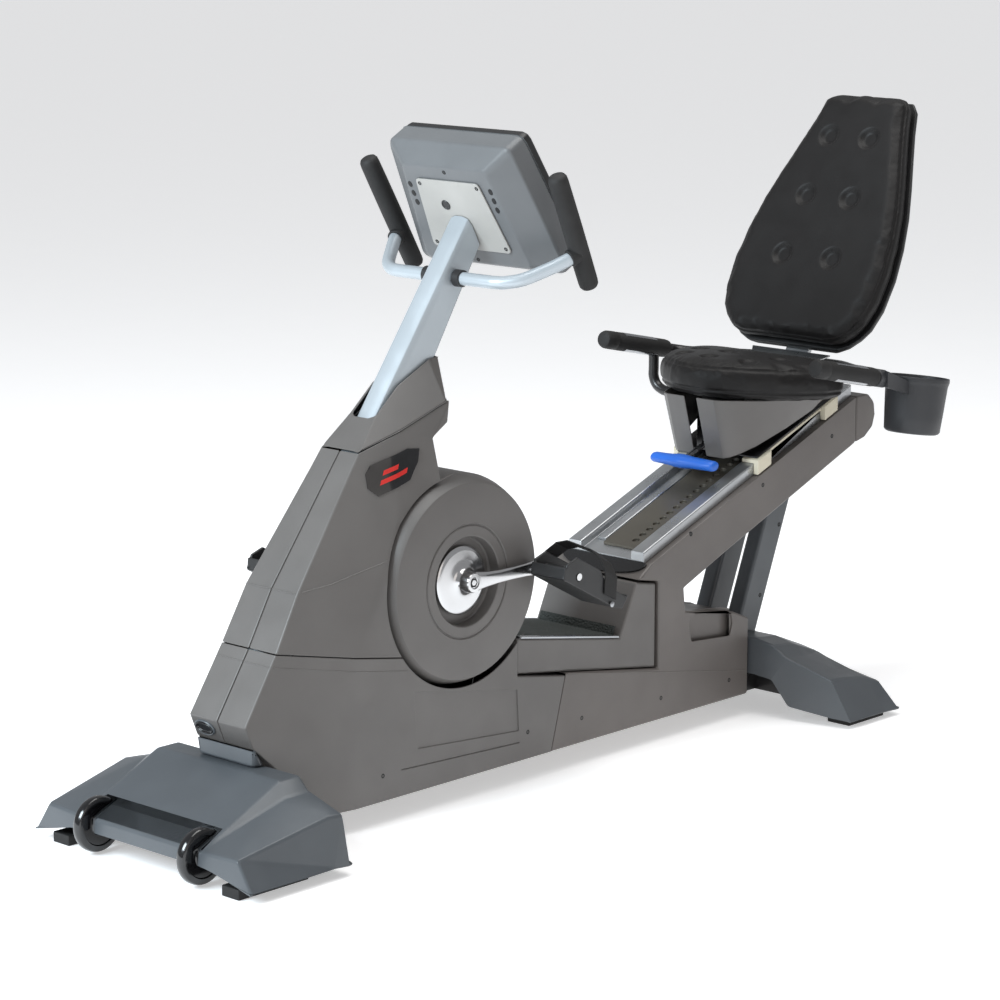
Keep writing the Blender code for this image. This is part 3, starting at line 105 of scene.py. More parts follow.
def surface(name, rgb, rough, metallic=0.0, grain=900.0, bump=0.12, mottle=0.07, fleck=0.0,
            wear=0.12, coat=0.0, sheen=0.0, specular=0.5, cells=0.0, depth=0.0002):
    """Moulded, painted or upholstered surface from noise alone."""
    mat = bpy.data.materials.new(name)
    mat.use_nodes = True
    nodes = mat.node_tree.nodes
    links = mat.node_tree.links
    shader = nodes["Principled BSDF"]
    shader.inputs["Metallic"].default_value = metallic
    shader.inputs["Coat Weight"].default_value = coat
    shader.inputs["Coat Roughness"].default_value = 0.12
    shader.inputs["Sheen Weight"].default_value = sheen
    shader.inputs["Specular IOR Level"].default_value = specular
    base = [linear(c) for c in rgb]
    place = nodes.new("ShaderNodeTexCoord")

    def noise(scale, detail):
        tex = nodes.new("ShaderNodeTexNoise")
        tex.inputs["Scale"].default_value = scale
        tex.inputs["Detail"].default_value = detail
        links.new(place.outputs["Object"], tex.inputs["Vector"])
        return tex.outputs["Fac"]

    def spread(source, low, high, out_low, out_high):
        node = nodes.new("ShaderNodeMapRange")
        node.inputs["From Min"].default_value = low
        node.inputs["From Max"].default_value = high
        node.inputs["To Min"].default_value = out_low
        node.inputs["To Max"].default_value = out_high
        links.new(source, node.inputs["Value"])
        return node.outputs["Result"]

    def blend(factor, first, second):
        node = nodes.new("ShaderNodeMix")
        node.data_type = "RGBA"
        links.new(factor, node.inputs["Factor"])
        for socket, value in ((node.inputs["A"], first), (node.inputs["B"], second)):
            if isinstance(value, bpy.types.NodeSocket):
                links.new(value, socket)
            else:
                socket.default_value = value
        return node.outputs["Result"]

    dark = [c * (1.0 - mottle) for c in base] + [1.0]
    light = [c * (1.0 + mottle) for c in base] + [1.0]
    colour = blend(spread(noise(7.0, 5.0), 0.35, 0.65, 0.0, 1.0), dark, light)
    if fleck > 0.0:
        bright = [min(1.0, c * 2.4 + 0.03) for c in base] + [1.0]
        spots = spread(noise(grain * 1.4, 2.0), 0.60, 0.74, 0.0, fleck)
        colour = blend(spots, colour, bright)
    if wear > 0.0:
        shape = nodes.new("ShaderNodeNewGeometry")
        rubbed = [min(1.0, c * 1.7 + 0.02) for c in base] + [1.0]
        edge = spread(shape.outputs["Pointiness"], 0.53, 0.60, 0.0, wear)
        colour = blend(edge, colour, rubbed)
    links.new(colour, shader.inputs["Base Color"])
    links.new(spread(noise(22.0, 4.0), 0.3, 0.7, rough - 0.05, rough + 0.06),
              shader.inputs["Roughness"])
    if cells > 0.0:
        tex = nodes.new("ShaderNodeTexVoronoi")
        tex.inputs["Scale"].default_value = cells
        links.new(place.outputs["Object"], tex.inputs["Vector"])
        height = tex.outputs["Distance"]
    else:
        height = noise(grain, 4.0)
    relief = nodes.new("ShaderNodeBump")
    relief.inputs["Strength"].default_value = bump
    relief.inputs["Distance"].default_value = depth
    links.new(height, relief.inputs["Height"])
    links.new(relief.outputs["Normal"], shader.inputs["Normal"])
    return mat


LOOKS = {
    "panel_grey": surface("panel_grey", (94, 91, 89), 0.40, grain=1500, bump=0.20, fleck=0.22),
    "base_slate": surface("base_slate", (76, 80, 84), 0.34, grain=1500, bump=0.15, fleck=0.12),
    "seat_beam_brown": surface("seat_beam_brown", (95, 90, 87), 0.38, grain=1500, bump=0.2,
                               fleck=0.18),
    "mast_silver": surface("mast_silver", (176, 184, 190), 0.34, 0.30, grain=2600, bump=0.10,
                           mottle=0.02, fleck=0.2, wear=0.05),
    "crank_silver": surface("crank_silver", (205, 205, 206), 0.20, 1.0, grain=1200, bump=0.06,
                            mottle=0.04),
    "plate_light_grey": surface("plate_light_grey", (160, 158, 154), 0.42, grain=1400),
    "console_grey": surface("console_grey", (98, 100, 102), 0.42, grain=1500, bump=0.18),
    "screen_glass": surface("screen_glass", (12, 15, 17), 0.09, grain=500, bump=0.01, wear=0.0,
                            coat=0.6),
    "black_plastic": surface("black_plastic", (30, 30, 31), 0.42, grain=1100, bump=0.25),
    "black_gloss": surface("black_gloss", (16, 16, 18), 0.14, grain=700, bump=0.03, coat=0.4),
    "black_rubber": surface("black_rubber", (25, 24, 24), 0.70, grain=800, bump=0.45,
                            mottle=0.12),
    "black_vinyl": surface("black_vinyl", (18, 16, 16), 0.50, cells=420, bump=0.35, sheen=0.03,
                           mottle=0.10, wear=0.05, depth=0.0003, specular=0.28),
    "black_paint": surface("black_paint", (27, 26, 27), 0.30, grain=1300, bump=0.10, coat=0.15),
    "track_silver": surface("track_silver", (176, 178, 180), 0.30, 0.85, grain=1800, bump=0.08),
    "steel": surface("steel", (160, 162, 165), 0.26, 1.0, grain=1500, bump=0.06),
    "cast_iron": surface("cast_iron", (70, 70, 72), 0.55, 0.7, grain=500, bump=0.5),
    "glide_cream": surface("glide_cream", (203, 196, 176), 0.48, grain=900, mottle=0.10),
    "cup_grey": surface("cup_grey", (46, 47, 50), 0.46, grain=1200, bump=0.25),
    "lever_blue": surface("lever_blue", (34, 98, 196), 0.36, grain=900, bump=0.20, fleck=0.05),
}
MAT_SURFACE = surface("mat_rubber", (44, 49, 47), 0.80, grain=300, cells=260, bump=1.0,
                      mottle=0.30, fleck=0.55, depth=0.0025)
SEAM_DARK = surface("seam_dark", (14, 14, 15), 0.60, grain=900, wear=0.0)
RACK_OLIVE = surface("rack_olive", (92, 88, 80), 0.40, 0.55, grain=1300, bump=0.15)
MARK_RED = surface("mark_red", (188, 32, 26), 0.35, grain=900)

for name, obj in NODES.items():
    look = MAT_SURFACE if name == "step_mat" else LOOKS[SLOTS[name]]
    obj.data.materials.clear()
    obj.data.materials.append(look)


# Mesh helpers
@contextlib.contextmanager
def mesh_edit(mesh):
    """A mesh as bmesh, written back when the block ends."""
    bm = bmesh.new()
    bm.from_mesh(mesh)
    yield bm
    bm.to_mesh(mesh)
    bm.free()


def link(name, mesh):
    obj = bpy.data.objects.new(name, mesh)
    bpy.context.scene.collection.objects.link(obj)
    return obj


def build(name, verts, faces):
    """Object from points and faces, with doubles merged and normals outward."""
    mesh = bpy.data.meshes.new(name)
    mesh.from_pydata([tuple(v) for v in verts], [], faces)
    with mesh_edit(mesh) as bm:
        bmesh.ops.remove_doubles(bm, verts=bm.verts, dist=1e-6)
        bmesh.ops.recalc_face_normals(bm, faces=bm.faces)
    return link(name, mesh)


def apply_modifiers(obj):
    """Turn the object's modifiers into its mesh."""
    bpy.context.view_layer.update()
    graph = bpy.context.evaluated_depsgraph_get()
    mesh = bpy.data.meshes.new_from_object(obj.evaluated_get(graph), depsgraph=graph)
    old = obj.data
    obj.modifiers.clear()
    obj.data = mesh
    bpy.data.meshes.remove(old)
    return obj


def loft(name, rings, closed=False):
    """Skin over equal rings of points, capped at both ends or closed into a loop."""
    count = len(rings[0])
    verts = [p for ring in rings for p in ring]
    faces = []
    last = len(rings) if closed else len(rings) - 1
    for k in range(last):
        a = k * count
        b = ((k + 1) % len(rings)) * count
        for i in range(count):
            j = (i + 1) % count
            faces.append((a + i, a + j, b + j, b + i))
    if not closed:
        faces.append(tuple(range(count)))
        faces.append(tuple(range(len(verts) - 1, len(verts) - count - 1, -1)))
    return build(name, verts, faces)


def prism(name, outline, y0, y1):
    """Extrude a station (x, z) outline across the machine."""
    return loft(name, [[at(x, y, z) for x, z in outline] for y in (y0, y1)])


def curve_through(points, steps=8):
    """Catmull-Rom curve through the points."""
    pts = [Vector(p) for p in points]
    pts = [pts[0] * 2 - pts[1]] + pts + [pts[-1] * 2 - pts[-2]]
    out = []
    for i in range(1, len(pts) - 2):
        a, b, c, d = pts[i - 1:i + 3]
        for k in range(steps):
            t = k / steps
            out.append(0.5 * ((2 * b) + (c - a) * t + (2 * a - 5 * b + 4 * c - d) * t * t
                              + (3 * b - a - 3 * c + d) * t ** 3))
    return out + [pts[-2]]


def tube(name, path, radius, segments=28):
    """Round bar along a path; radius is one number or one for each point."""
    path = [Vector(p) for p in path]
    radii = radius if isinstance(radius, (list, tuple)) else [radius] * len(path)
    tangent = (path[1] - path[0]).normalized()
    side = tangent.orthogonal().normalized()
    rings = []
    for i, p in enumerate(path):
        ahead = path[min(i + 1, len(path) - 1)] - path[max(i - 1, 0)]
        new = ahead.normalized()
        side = tangent.rotation_difference(new) @ side
        tangent = new
        other = tangent.cross(side).normalized()
        rings.append([p + (side * c + other * s) * radii[i] for c, s in circle(segments)])
    return loft(name, rings)


def lathe(name, profile, matrix, segments, ring=False):
    """Turn an (r, height) profile about the matrix's Z; a ring's profile is a closed loop."""
    rows = [[matrix @ Vector((r * c, r * s, h)) for c, s in circle(segments)]
            for r, h in profile]
    verts = [p for row in rows for p in row]
    faces = []
    count = len(rows) if ring else len(rows) - 1
    for k in range(count):
        a = k * segments
        b = ((k + 1) % len(rows)) * segments
        for i in range(segments):
            j = (i + 1) % segments
            faces.append((a + i, a + j, b + j, b + i))
    mesh = bpy.data.meshes.new(name)
    mesh.from_pydata([tuple(v) for v in verts], [], faces)
    with mesh_edit(mesh) as bm:
        bmesh.ops.remove_doubles(bm, verts=bm.verts, dist=1e-7)
        bmesh.ops.dissolve_degenerate(bm, edges=bm.edges, dist=1e-7)
        bmesh.ops.recalc_face_normals(bm, faces=bm.faces)
    return link(name, mesh)


def across(x, z, y=0.0, side=1):
    """Matrix that puts a lathe's Z along +Y or -Y through station (x, z)."""
    turn = Matrix.Rotation(math.radians(-90.0 * side), 4, "X")
    return Matrix.Translation(at(x, y, z)) @ turn


def facing(point, direction):
    """Matrix with Z along direction at a frame point."""
    turn = Vector(direction).normalized().to_track_quat("Z", "Y").to_matrix().to_4x4()
    return Matrix.Translation(point) @ turn


def cut(obj, tool):
    """Take the tool's shape out of the object, and the tool away."""
    mod = obj.modifiers.new("cut", "BOOLEAN")
    mod.operation = "DIFFERENCE"
    mod.solver = "EXACT"
    mod.object = tool
    apply_modifiers(obj)
    bpy.data.objects.remove(tool)
    return obj


def skin(node):
    """Clean copy of a CAD node's mesh with its flat areas made whole."""
    source = NODES[node].data
    obj = build(node + "_look", [v.co for v in source.vertices],
                [tuple(p.vertices) for p in source.polygons])
    with mesh_edit(obj.data) as bm:
        bmesh.ops.remove_doubles(bm, verts=bm.verts, dist=2e-6)
        bmesh.ops.dissolve_limit(bm, angle_limit=math.radians(0.04), verts=bm.verts,
                                 edges=bm.edges)
    return obj


def within(obj, node):
    """Pull the tips that rounding leaves at sharp corners back to the CAD node's own box."""
    corners = [v.co for v in NODES[node].data.vertices]
    low = [min(co[i] for co in corners) for i in range(3)]
    high = [max(co[i] for co in corners) for i in range(3)]
    for v in obj.data.vertices:
        v.co = [min(max(v.co[i], low[i]), high[i]) for i in range(3)]
    return obj


def rounded(obj, width, angle=24.0, segments=3, least=0.0):
    """Round each edge sharper than angle by up to width, less where its faces are narrow,
    and not at all where they are narrower than least."""
    with mesh_edit(obj.data) as bm:
        layer = bm.edges.layers.float.get("bevel_weight_edge")
        if layer is None:
            layer = bm.edges.layers.float.new("bevel_weight_edge")
        for edge in bm.edges:
            if len(edge.link_faces) != 2 or edge.calc_face_angle(0.0) < math.radians(angle):
                continue
            a = edge.verts[0].co
            axis = (edge.verts[1].co - a).normalized()
            room = 1.0
            for face in edge.link_faces:
                reach = [(v.co - a) - axis * (v.co - a).dot(axis) for v in face.verts]
                room = min(room, max(r.length for r in reach))
            edge[layer] = min(1.0, ROUND_SHARE * room / width) if room > least else 0.0
    mod = obj.modifiers.new("round", "BEVEL")
    mod.width = width
    mod.segments = segments
    mod.limit_method = "WEIGHT"
    mod.use_clamp_overlap = False
    apply_modifiers(obj)
    smooth(obj, 32.0)
    weigh = obj.modifiers.new("normals", "WEIGHTED_NORMAL")
    weigh.keep_sharp = True
    weigh.weight = 90
    return apply_modifiers(obj)


def smooth(obj, angle=32.0):
    """Shade smooth except at edges sharper than angle degrees."""
    for poly in obj.data.polygons:
        poly.use_smooth = True
    obj.data.set_sharp_from_angle(angle=math.radians(angle))
    return obj


def dress(obj, slot, body="root", nodes=(), look=None):
    """Give a piece its finish and the body that carries it."""
    obj.data.materials.clear()
    obj.data.materials.append(look or LOOKS[slot])
    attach(obj, body)
    if nodes:
        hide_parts(*nodes)
    return obj


def body_of(node):
    return NODES[node]["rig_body"]


def stand_in(obj, node):
    """Let a piece take a CAD node's place, finish and body."""
    return dress(obj, SLOTS[node], body_of(node), (node,))


def join(name, pieces):
    """One object from several."""
    bm = bmesh.new()
    for piece in pieces:
        bm.from_mesh(piece.data)
    mesh = bpy.data.meshes.new(name)
    bm.to_mesh(mesh)
    bm.free()
    for piece in pieces:
        bpy.data.objects.remove(piece)
    return link(name, mesh)


def groove(obj, start, end, normal, width=0.0036, depth=0.0018):
    """Cut a V line into a flat face between two frame points."""
    along = (end - start).normalized()
    out = Vector(normal).normalized() * depth
    over = along.cross(out).normalized() * width / 2
    rings = [[p + over + out, p - over + out, p - over * 0.4 - out, p + over * 0.4 - out]
             for p in (start - along * 0.002, end + along * 0.002)]
    return cut(obj, loft("groove", rings))


def screw(point, direction, radius=0.0048):
    """Sunk cross-head screw."""
    profile = [(0.0, -0.0020), (radius * 0.30, -0.0020), (radius * 0.36, 0.0006),
               (radius * 0.78, 0.0009), (radius, 0.0002), (radius, -0.0020), (0.0, -0.0021)]
    return lathe("screw", profile, facing(point, direction), 20)


# Shrouds and covers
SIDE = 0.118
BEAM_SIDE = 0.1153
LEG_SIDE = 0.0622
WELL = [(0.0, -0.130), (0.2024, -0.130), (0.2024, 0.130), (0.0, 0.130)]
PANEL = [(0.569, 0.238), (0.817, 0.194), (0.8480, 0.1885), (0.8530, 0.1060), (0.579, 0.127)]
LOWER_SCREWS = [(0.487, 0.0944), (0.878, 0.0985), (1.033, 0.0953), (1.2705, 0.0894),
                (1.485, 0.0857)]
BEAM_SCREWS = [(1.3616, 0.4101), (1.5892, 0.4770), (1.8174, 0.5483)]
LEG_SCREWS = [(1.652, 0.2268), (1.712, 0.368)]

# Radius of the rounded edges of each CAD node that is only dressed up
ROUNDING = {
    "front_stabiliser_cover": 0.005, "rear_stabiliser_cover": 0.005, "neck_cover": 0.006,
    "mast_collar": 0.0040, "beam_end_cap": 0.006, "rear_leg_left": 0.007,
    "rear_leg_right": 0.007, "step_tray": 0.0045, "seat_skirt": 0.0025,
    "seat_carriage": 0.0016, "backrest_shell": 0.0035, "backrest_bracket": 0.0014,
    "console_back": 0.0040, "console_front": 0.0022, "console_screen": 0.0010,
    "console_plate": 0.0012, "pedal_left": 0.0020, "pedal_right": 0.0020,
    "pedal_strap_left": 0.0009, "pedal_strap_right": 0.0009, "glide_shoe_left": 0.0014,
    "glide_shoe_right": 0.0014, "foot_front_left": 0.0020, "foot_front_right": 0.0020,
    "foot_rear_left": 0.0020, "foot_rear_right": 0.0020, "power_inlet": 0.0010,
    "seat_track": 0.0010, "mast": 0.0010,
}
# Faces narrower than this on the stabiliser covers keep sharp edges
COVER_RIM = 0.0060


def side_screws(name, points, side, reach):
    """Screws at (x, z) stations in a side face that lies reach from the middle."""
    pieces = [screw(at(x, side * (reach - 0.0004), z), (0, side, 0)) for x, z in points]
    dress(smooth(join(name, pieces)), "black_plastic", look=SEAM_DARK)


for side, word in SIDES:
    upper = skin("upper_shroud_" + word)
    lower = skin("lower_shroud_" + word)
    rear = skin("rear_cover_" + word)
    for shell in (upper, lower):
        cut(shell, lathe("well", WELL, across(CRANK_X, CRANK_Z), 128))
    cut(lower, prism("panel", PANEL, side * 0.1158, side * 0.125))
    groove(lower, at(0.537, side * SIDE, 0.096), at(0.852, side * SIDE, 0.083), (0, side, 0))
    stand_in(rounded(upper, 0.0032), "upper_shroud_" + word)
    stand_in(rounded(lower, 0.0030), "lower_shroud_" + word)
    stand_in(rounded(rear, 0.0045), "rear_cover_" + word)
    side_screws("lower_screws_" + word, LOWER_SCREWS, side, SIDE)
    side_screws("beam_screws_" + word, BEAM_SCREWS, side, BEAM_SIDE)
    side_screws("leg_screws_" + word, LEG_SCREWS, side, LEG_SIDE)

for node, width in ROUNDING.items():
    rim = COVER_RIM if "stabiliser" in node else 0.0
    stand_in(within(rounded(skin(node), width, least=rim), node), node)


# Moulded ribs and the plaque, which follow the covers' surfaces
def surface_tree(node):
    """Search tree of a dressed cover's surface."""
    bm = bmesh.new()
    bm.from_mesh(bpy.data.objects[node + "_look"].data)
    tree = BVHTree.FromBMesh(bm)
    bm.free()
    return tree


def rib(name, node, points, facing_out, slot, radius=0.0012):
    """Fine bead along points dropped onto a cover's outside."""
    tree = surface_tree(node)
    axis = Vector(facing_out)
    path = []
    for a, b in zip(points, points[1:]):
        for k in range(12):
            hit = tree.ray_cast(a.lerp(b, k / 11) + axis * 0.4, -axis)[0]
            if hit and (not path or (hit - path[-1]).length > 1e-4):
                path.append(hit - axis * radius * 0.3)
    dress(smooth(tube(name, path, radius, 12), 60.0), slot)


BAND_LINE = [at(0.260, 0, 0.3328), at(0.420, 0, 0.3033), at(0.553, 0, 0.2798)]
STEP_LINE = [at(0.335, 0, 0.4573), at(0.3895, 0, 0.4643), at(0.5074, 0, 0.4933)]
SILL_LINE = [at(0.992, 0, 0.1925), at(1.270, 0, 0.1433), at(1.538, 0, 0.0962)]
for side, word in SIDES:
    out = (0, side, 0)
    front = (-1, 0, 0)
    rib("band_rib_" + word, "lower_shroud_" + word, BAND_LINE, out, "panel_grey")
    rib("band_rib_front_" + word, "lower_shroud_" + word,
        [at(0, side * 0.0025, 0.3341), at(0, side * 0.0690, 0.3341)], front, "panel_grey")
    rib("step_rib_" + word, "upper_shroud_" + word, STEP_LINE, out, "panel_grey")
    rib("step_rib_front_" + word, "upper_shroud_" + word,
        [at(0, side * 0.0025, 0.4550), at(0, side * 0.0640, 0.4550)], front, "panel_grey")
    rib("sill_rib_" + word, "rear_cover_" + word, SILL_LINE, out, "seat_beam_brown")

PLAQUE = [(0.501, 0.648), (0.512, 0.662), (0.587, 0.686), (0.612, 0.684), (0.606, 0.660),
          (0.584, 0.630), (0.516, 0.607), (0.500, 0.622)]
# Lower left corner and length of the two bars on the plaque
PLAQUE_BARS = ((0.522, 0.626, 0.056), (0.530, 0.643, 0.030))
BAR_SLOPE = 0.32
BAR_HEIGHT = 0.009
BAR_LEAN = 0.004


def plaque(name, outline, side, lift, thickness, look):
    """Thin plate of a station (x, z) outline, laid on the upper shroud and lifted off it."""
    tree = surface_tree("upper_shroud_" + ("left" if side < 0 else "right"))
    bm = bmesh.new()
    face = bm.faces.new([bm.verts.new(at(x, 0.0, z)) for x, z in outline])
    bmesh.ops.triangulate(bm, faces=[face])
    bmesh.ops.subdivide_edges(bm, edges=bm.edges, cuts=5, use_grid_fill=True)
    for vert in bm.verts:
        hit = tree.ray_cast(Vector((vert.co.x, side * 0.4, vert.co.z)), Vector((0, -side, 0)))[0]
        vert.co.y = (hit.y if hit else side * 0.08) + side * lift
    mesh = bpy.data.meshes.new(name)
    bm.to_mesh(mesh)
    bm.free()
    obj = link(name, mesh)
    mod = obj.modifiers.new("thick", "SOLIDIFY")
    mod.thickness = thickness
    mod.offset = 0.0
    apply_modifiers(obj)
    with mesh_edit(obj.data) as bm:
        bmesh.ops.recalc_face_normals(bm, faces=bm.faces)
    dress(smooth(obj), "black_gloss", look=look)


for side, word in SIDES:
    plaque("plaque_" + word, PLAQUE, side, 0.0004, 0.0030, None)
    for k, (x0, z0, run) in enumerate(PLAQUE_BARS):
        bar = [(x0, z0), (x0 + run, z0 + BAR_SLOPE * run),
               (x0 + run + BAR_LEAN, z0 + BAR_SLOPE * run + BAR_HEIGHT),
               (x0 + BAR_LEAN, z0 + BAR_HEIGHT)]
        plaque("plaque_bar_%s_%d" % (word, k), bar, side, 0.0021, 0.0008, MARK_RED)

# Drum, crank and wheels, as (radius, distance out) profiles about their axles
DRUM = [(0.031, 0.1005), (0.0800, 0.1005), (0.0830, 0.1030), (0.0853, 0.1235),
        (0.0870, 0.1246), (0.1040, 0.1246), (0.1052, 0.1238), (0.1062, 0.1222),
        (0.1078, 0.1222), (0.1088, 0.1238), (0.1100, 0.1246), (0.1830, 0.1242),
        (0.1858, 0.1236), (0.1885, 0.1206), (0.1940, 0.1085), (0.1985, 0.0960),
        (0.2000, 0.0890), (0.2000, 0.0004), (0.1970, 0.0004), (0.1970, 0.0880),
        (0.1845, 0.1205), (0.0883, 0.1205), (0.0883, 0.0975), (0.031, 0.0975)]
DISC = [(0.0115, 0.1054), (0.0640, 0.1054), (0.0652, 0.1066), (0.0652, 0.1085),
        (0.0630, 0.1104), (0.0560, 0.1118), (0.0420, 0.1128), (0.0300, 0.1150),
        (0.0235, 0.1190), (0.0205, 0.1260), (0.0190, 0.1400), (0.0176, 0.1430),
        (0.0120, 0.1436), (0.0110, 0.1400), (0.0115, 0.1100)]
BOLT = [(0.0, 0.1380), (0.0050, 0.1380), (0.0058, 0.1412), (0.0092, 0.1418),
        (0.0100, 0.1405), (0.0100, 0.1340), (0.0, 0.1340)]
RIVET = [(0.0, 0.0012), (0.0040, 0.0010), (0.0056, 0.0), (0.0056, -0.0015), (0.0, -0.0015)]
WHEEL = [(0.0046, -0.0105), (0.018, -0.0105), (0.020, -0.0080), (0.037, -0.0080),
         (0.039, -0.0105), (0.0455, -0.0102), (0.0492, -0.0082), (0.0510, -0.0045),
         (0.0510, 0.0045), (0.0492, 0.0082), (0.0455, 0.0102), (0.039, 0.0105),
         (0.037, 0.0080), (0.020, 0.0080), (0.018, 0.0105), (0.0046, 0.0105)]
# Crank arm: share of the reach, half height, half thickness and distance out of each section
ARM = ((-0.05, 0.012, 0.0040, 0.1345), (0.0, 0.0178, 0.0062, 0.1350),
       (0.10, 0.0176, 0.0066, 0.1352), (0.22, 0.0150, 0.0068, 0.1356),
       (0.40, 0.0128, 0.0068, 0.1358), (0.65, 0.0121, 0.0068, 0.1358),
       (0.86, 0.0128, 0.0068, 0.1358), (0.98, 0.0146, 0.0068, 0.1358),
       (1.04, 0.0142, 0.0066, 0.1358), (1.075, 0.0085, 0.0050, 0.1358))
ARM_SQUARENESS = 0.72


def crank_arm(side, tip):
    """Arm of rounded-square sections from the spindle to the pedal axle at station tip."""
    rings = []
    for share, half, thin, out in ARM:
        x = CRANK_X + (tip - CRANK_X) * share
        ring = []
        for c, s in circle(24):
            c = math.copysign(abs(c) ** ARM_SQUARENESS, c)
            s = math.copysign(abs(s) ** ARM_SQUARENESS, s)
            ring.append(at(x, side * (out + thin * s), CRANK_Z + half * c))
        rings.append(ring)
    return loft("arm", rings)


for side, word in SIDES:
    place = across(CRANK_X, CRANK_Z, side=side)
    tip = CRANK_X - side * CRANK_REACH
    drum = lathe("drum_" + word, DRUM, place, DRUM_SEGMENTS, True)
    stand_in(smooth(drum, 30.0), "drum_cover_" + word)
    disc = lathe("disc", DISC, place, 72, True)
    bolt = lathe("crank_bolt_" + word, BOLT, place, 6)
    arm = crank_arm(side, tip)
    axle = tube("axle", [at(tip, side * 0.134, CRANK_Z), at(tip, side * 0.2515, CRANK_Z)],
                0.0069, 24)
    crank = join("crank_" + word, [disc, arm, axle])
    stand_in(smooth(crank, 40.0), "crank_arm_" + word)
    dress(smooth(bolt), "black_plastic", "crank", look=SEAM_DARK)
    rivet = lathe("strap_rivet_" + word, RIVET,
                  facing(at(tip + 0.091, side * 0.2536, 0.3564), (0, side, 0)), 24)
    dress(smooth(rivet), "steel", body_of("pedal_" + word))
    wheel = lathe("front_wheel_" + word, WHEEL, across(0.023, 0.054, side * 0.138), 64, True)
    stand_in(smooth(wheel), "transport_wheel_" + word)

# Front handlebar: the right half of its path, its grips and its clamps on the mast
FRONT_BAR = [(0.8785, 0.2295, 1.024), (0.868, 0.224, 1.0175), (0.842, 0.206, 1.003),
             (0.803, 0.176, 0.984), (0.784, 0.149, 0.9772), (0.7765, 0.130, 0.9761),
             (0.775, 0.110, 0.976), (0.775, 0.040, 0.976)]
# Distance down the grip and radius there
GRIP = [(0.0, 0.004), (0.0008, 0.0105), (0.003, 0.0150), (0.008, 0.0178), (0.016, 0.0186),
        (0.060, 0.0190), (0.120, 0.0192), (0.180, 0.0190), (0.231, 0.0186), (0.239, 0.0178),
        (0.2436, 0.0150), (0.2457, 0.0105), (0.2465, 0.004)]

path = [at(x, -y, z) for x, y, z in FRONT_BAR]
path += [at(x, y, z) for x, y, z in reversed(FRONT_BAR)]
stand_in(smooth(tube("front_bar", curve_through(path, 6), BAR_RADIUS)), "handlebar")
for side, word in SIDES:
    top = at(0.815, side * 0.244, 1.179)
    low = at(0.928, side * 0.226, 0.961)
    axis = (low - top).normalized()
    grip = tube("grip", [top + axis * t for t, r in GRIP], [r for t, r in GRIP], 40)
    foot = at(0.868, side * 0.224, 1.0175)
    head = (at(0.902, side * 0.238, 1.036) - foot).normalized()
    hold = tube("hold", [foot + head * t for t in (0.004, 0.0055, 0.034, 0.036)],
                [0.0152, 0.0165, 0.0165, 0.0150], 32)
    stand_in(smooth(join("front_grip_" + word, [grip, hold]), 40.0), "handlebar_grip_" + word)
    clamp = tube("bar_clamp_" + word,
                 [at(0.775, side * y, 0.976) for y in (0.0300, 0.0312, 0.0470, 0.0482)],
                 [0.0150, 0.0162, 0.0162, 0.0150], 32)
    dress(smooth(clamp), "black_plastic")


# Seat handlebar: the right half of its U, its strut and its grips
def seat_bar_z(x):
    """Height of the seat bars' middle at station x."""
    return 0.743 - 0.2126 * (x - 1.539)


SEAT_BAR = [(1.546, SEAT_BAR_Y), (1.640, SEAT_BAR_Y), (1.740, SEAT_BAR_Y), (1.760, 0.278),
            (1.776, 0.268), (1.793, 0.246), (1.836, 0.150), (1.853, 0.112), (1.857, 0.080)]
SEAT_BAR_LOWEST = 0.690
STRUT_X = 1.705
STRUT = [(SEAT_BAR_Y, seat_bar_z(STRUT_X)), (SEAT_BAR_Y, 0.665), (SEAT_BAR_Y, 0.645),
         (0.272, 0.628), (0.256, 0.6185), (0.235, 0.616), (0.150, 0.616), (0.0562, 0.616)]
PLATE_RADIUS = 0.0190
PLATE_BACK = 0.0188
# Station and how far the pulse plate stands off the grip there
PLATE_LIPS = ((1.600, 0.0006), (1.604, 0.0014), (1.700, 0.0014), (1.704, 0.0006))


def pulse_plate(name, side, turn):
    """Metal sensor plate bent round the top (turn 1) or underside (turn -1) of a seat grip."""
    arc = [math.radians(-42 + 84 * k / 8) for k in range(9)]
    rings = []
    for x, lip in PLATE_LIPS:
        ring = []
        for r, angles in ((PLATE_RADIUS + lip, arc), (PLATE_BACK, reversed(arc))):
            ring += [at(x, side * SEAT_BAR_Y + r * math.sin(a),
                        seat_bar_z(x) + turn * r * math.cos(a)) for a in angles]
        rings.append(ring)
    dress(smooth(loft(name, rings)), "steel", "seat")


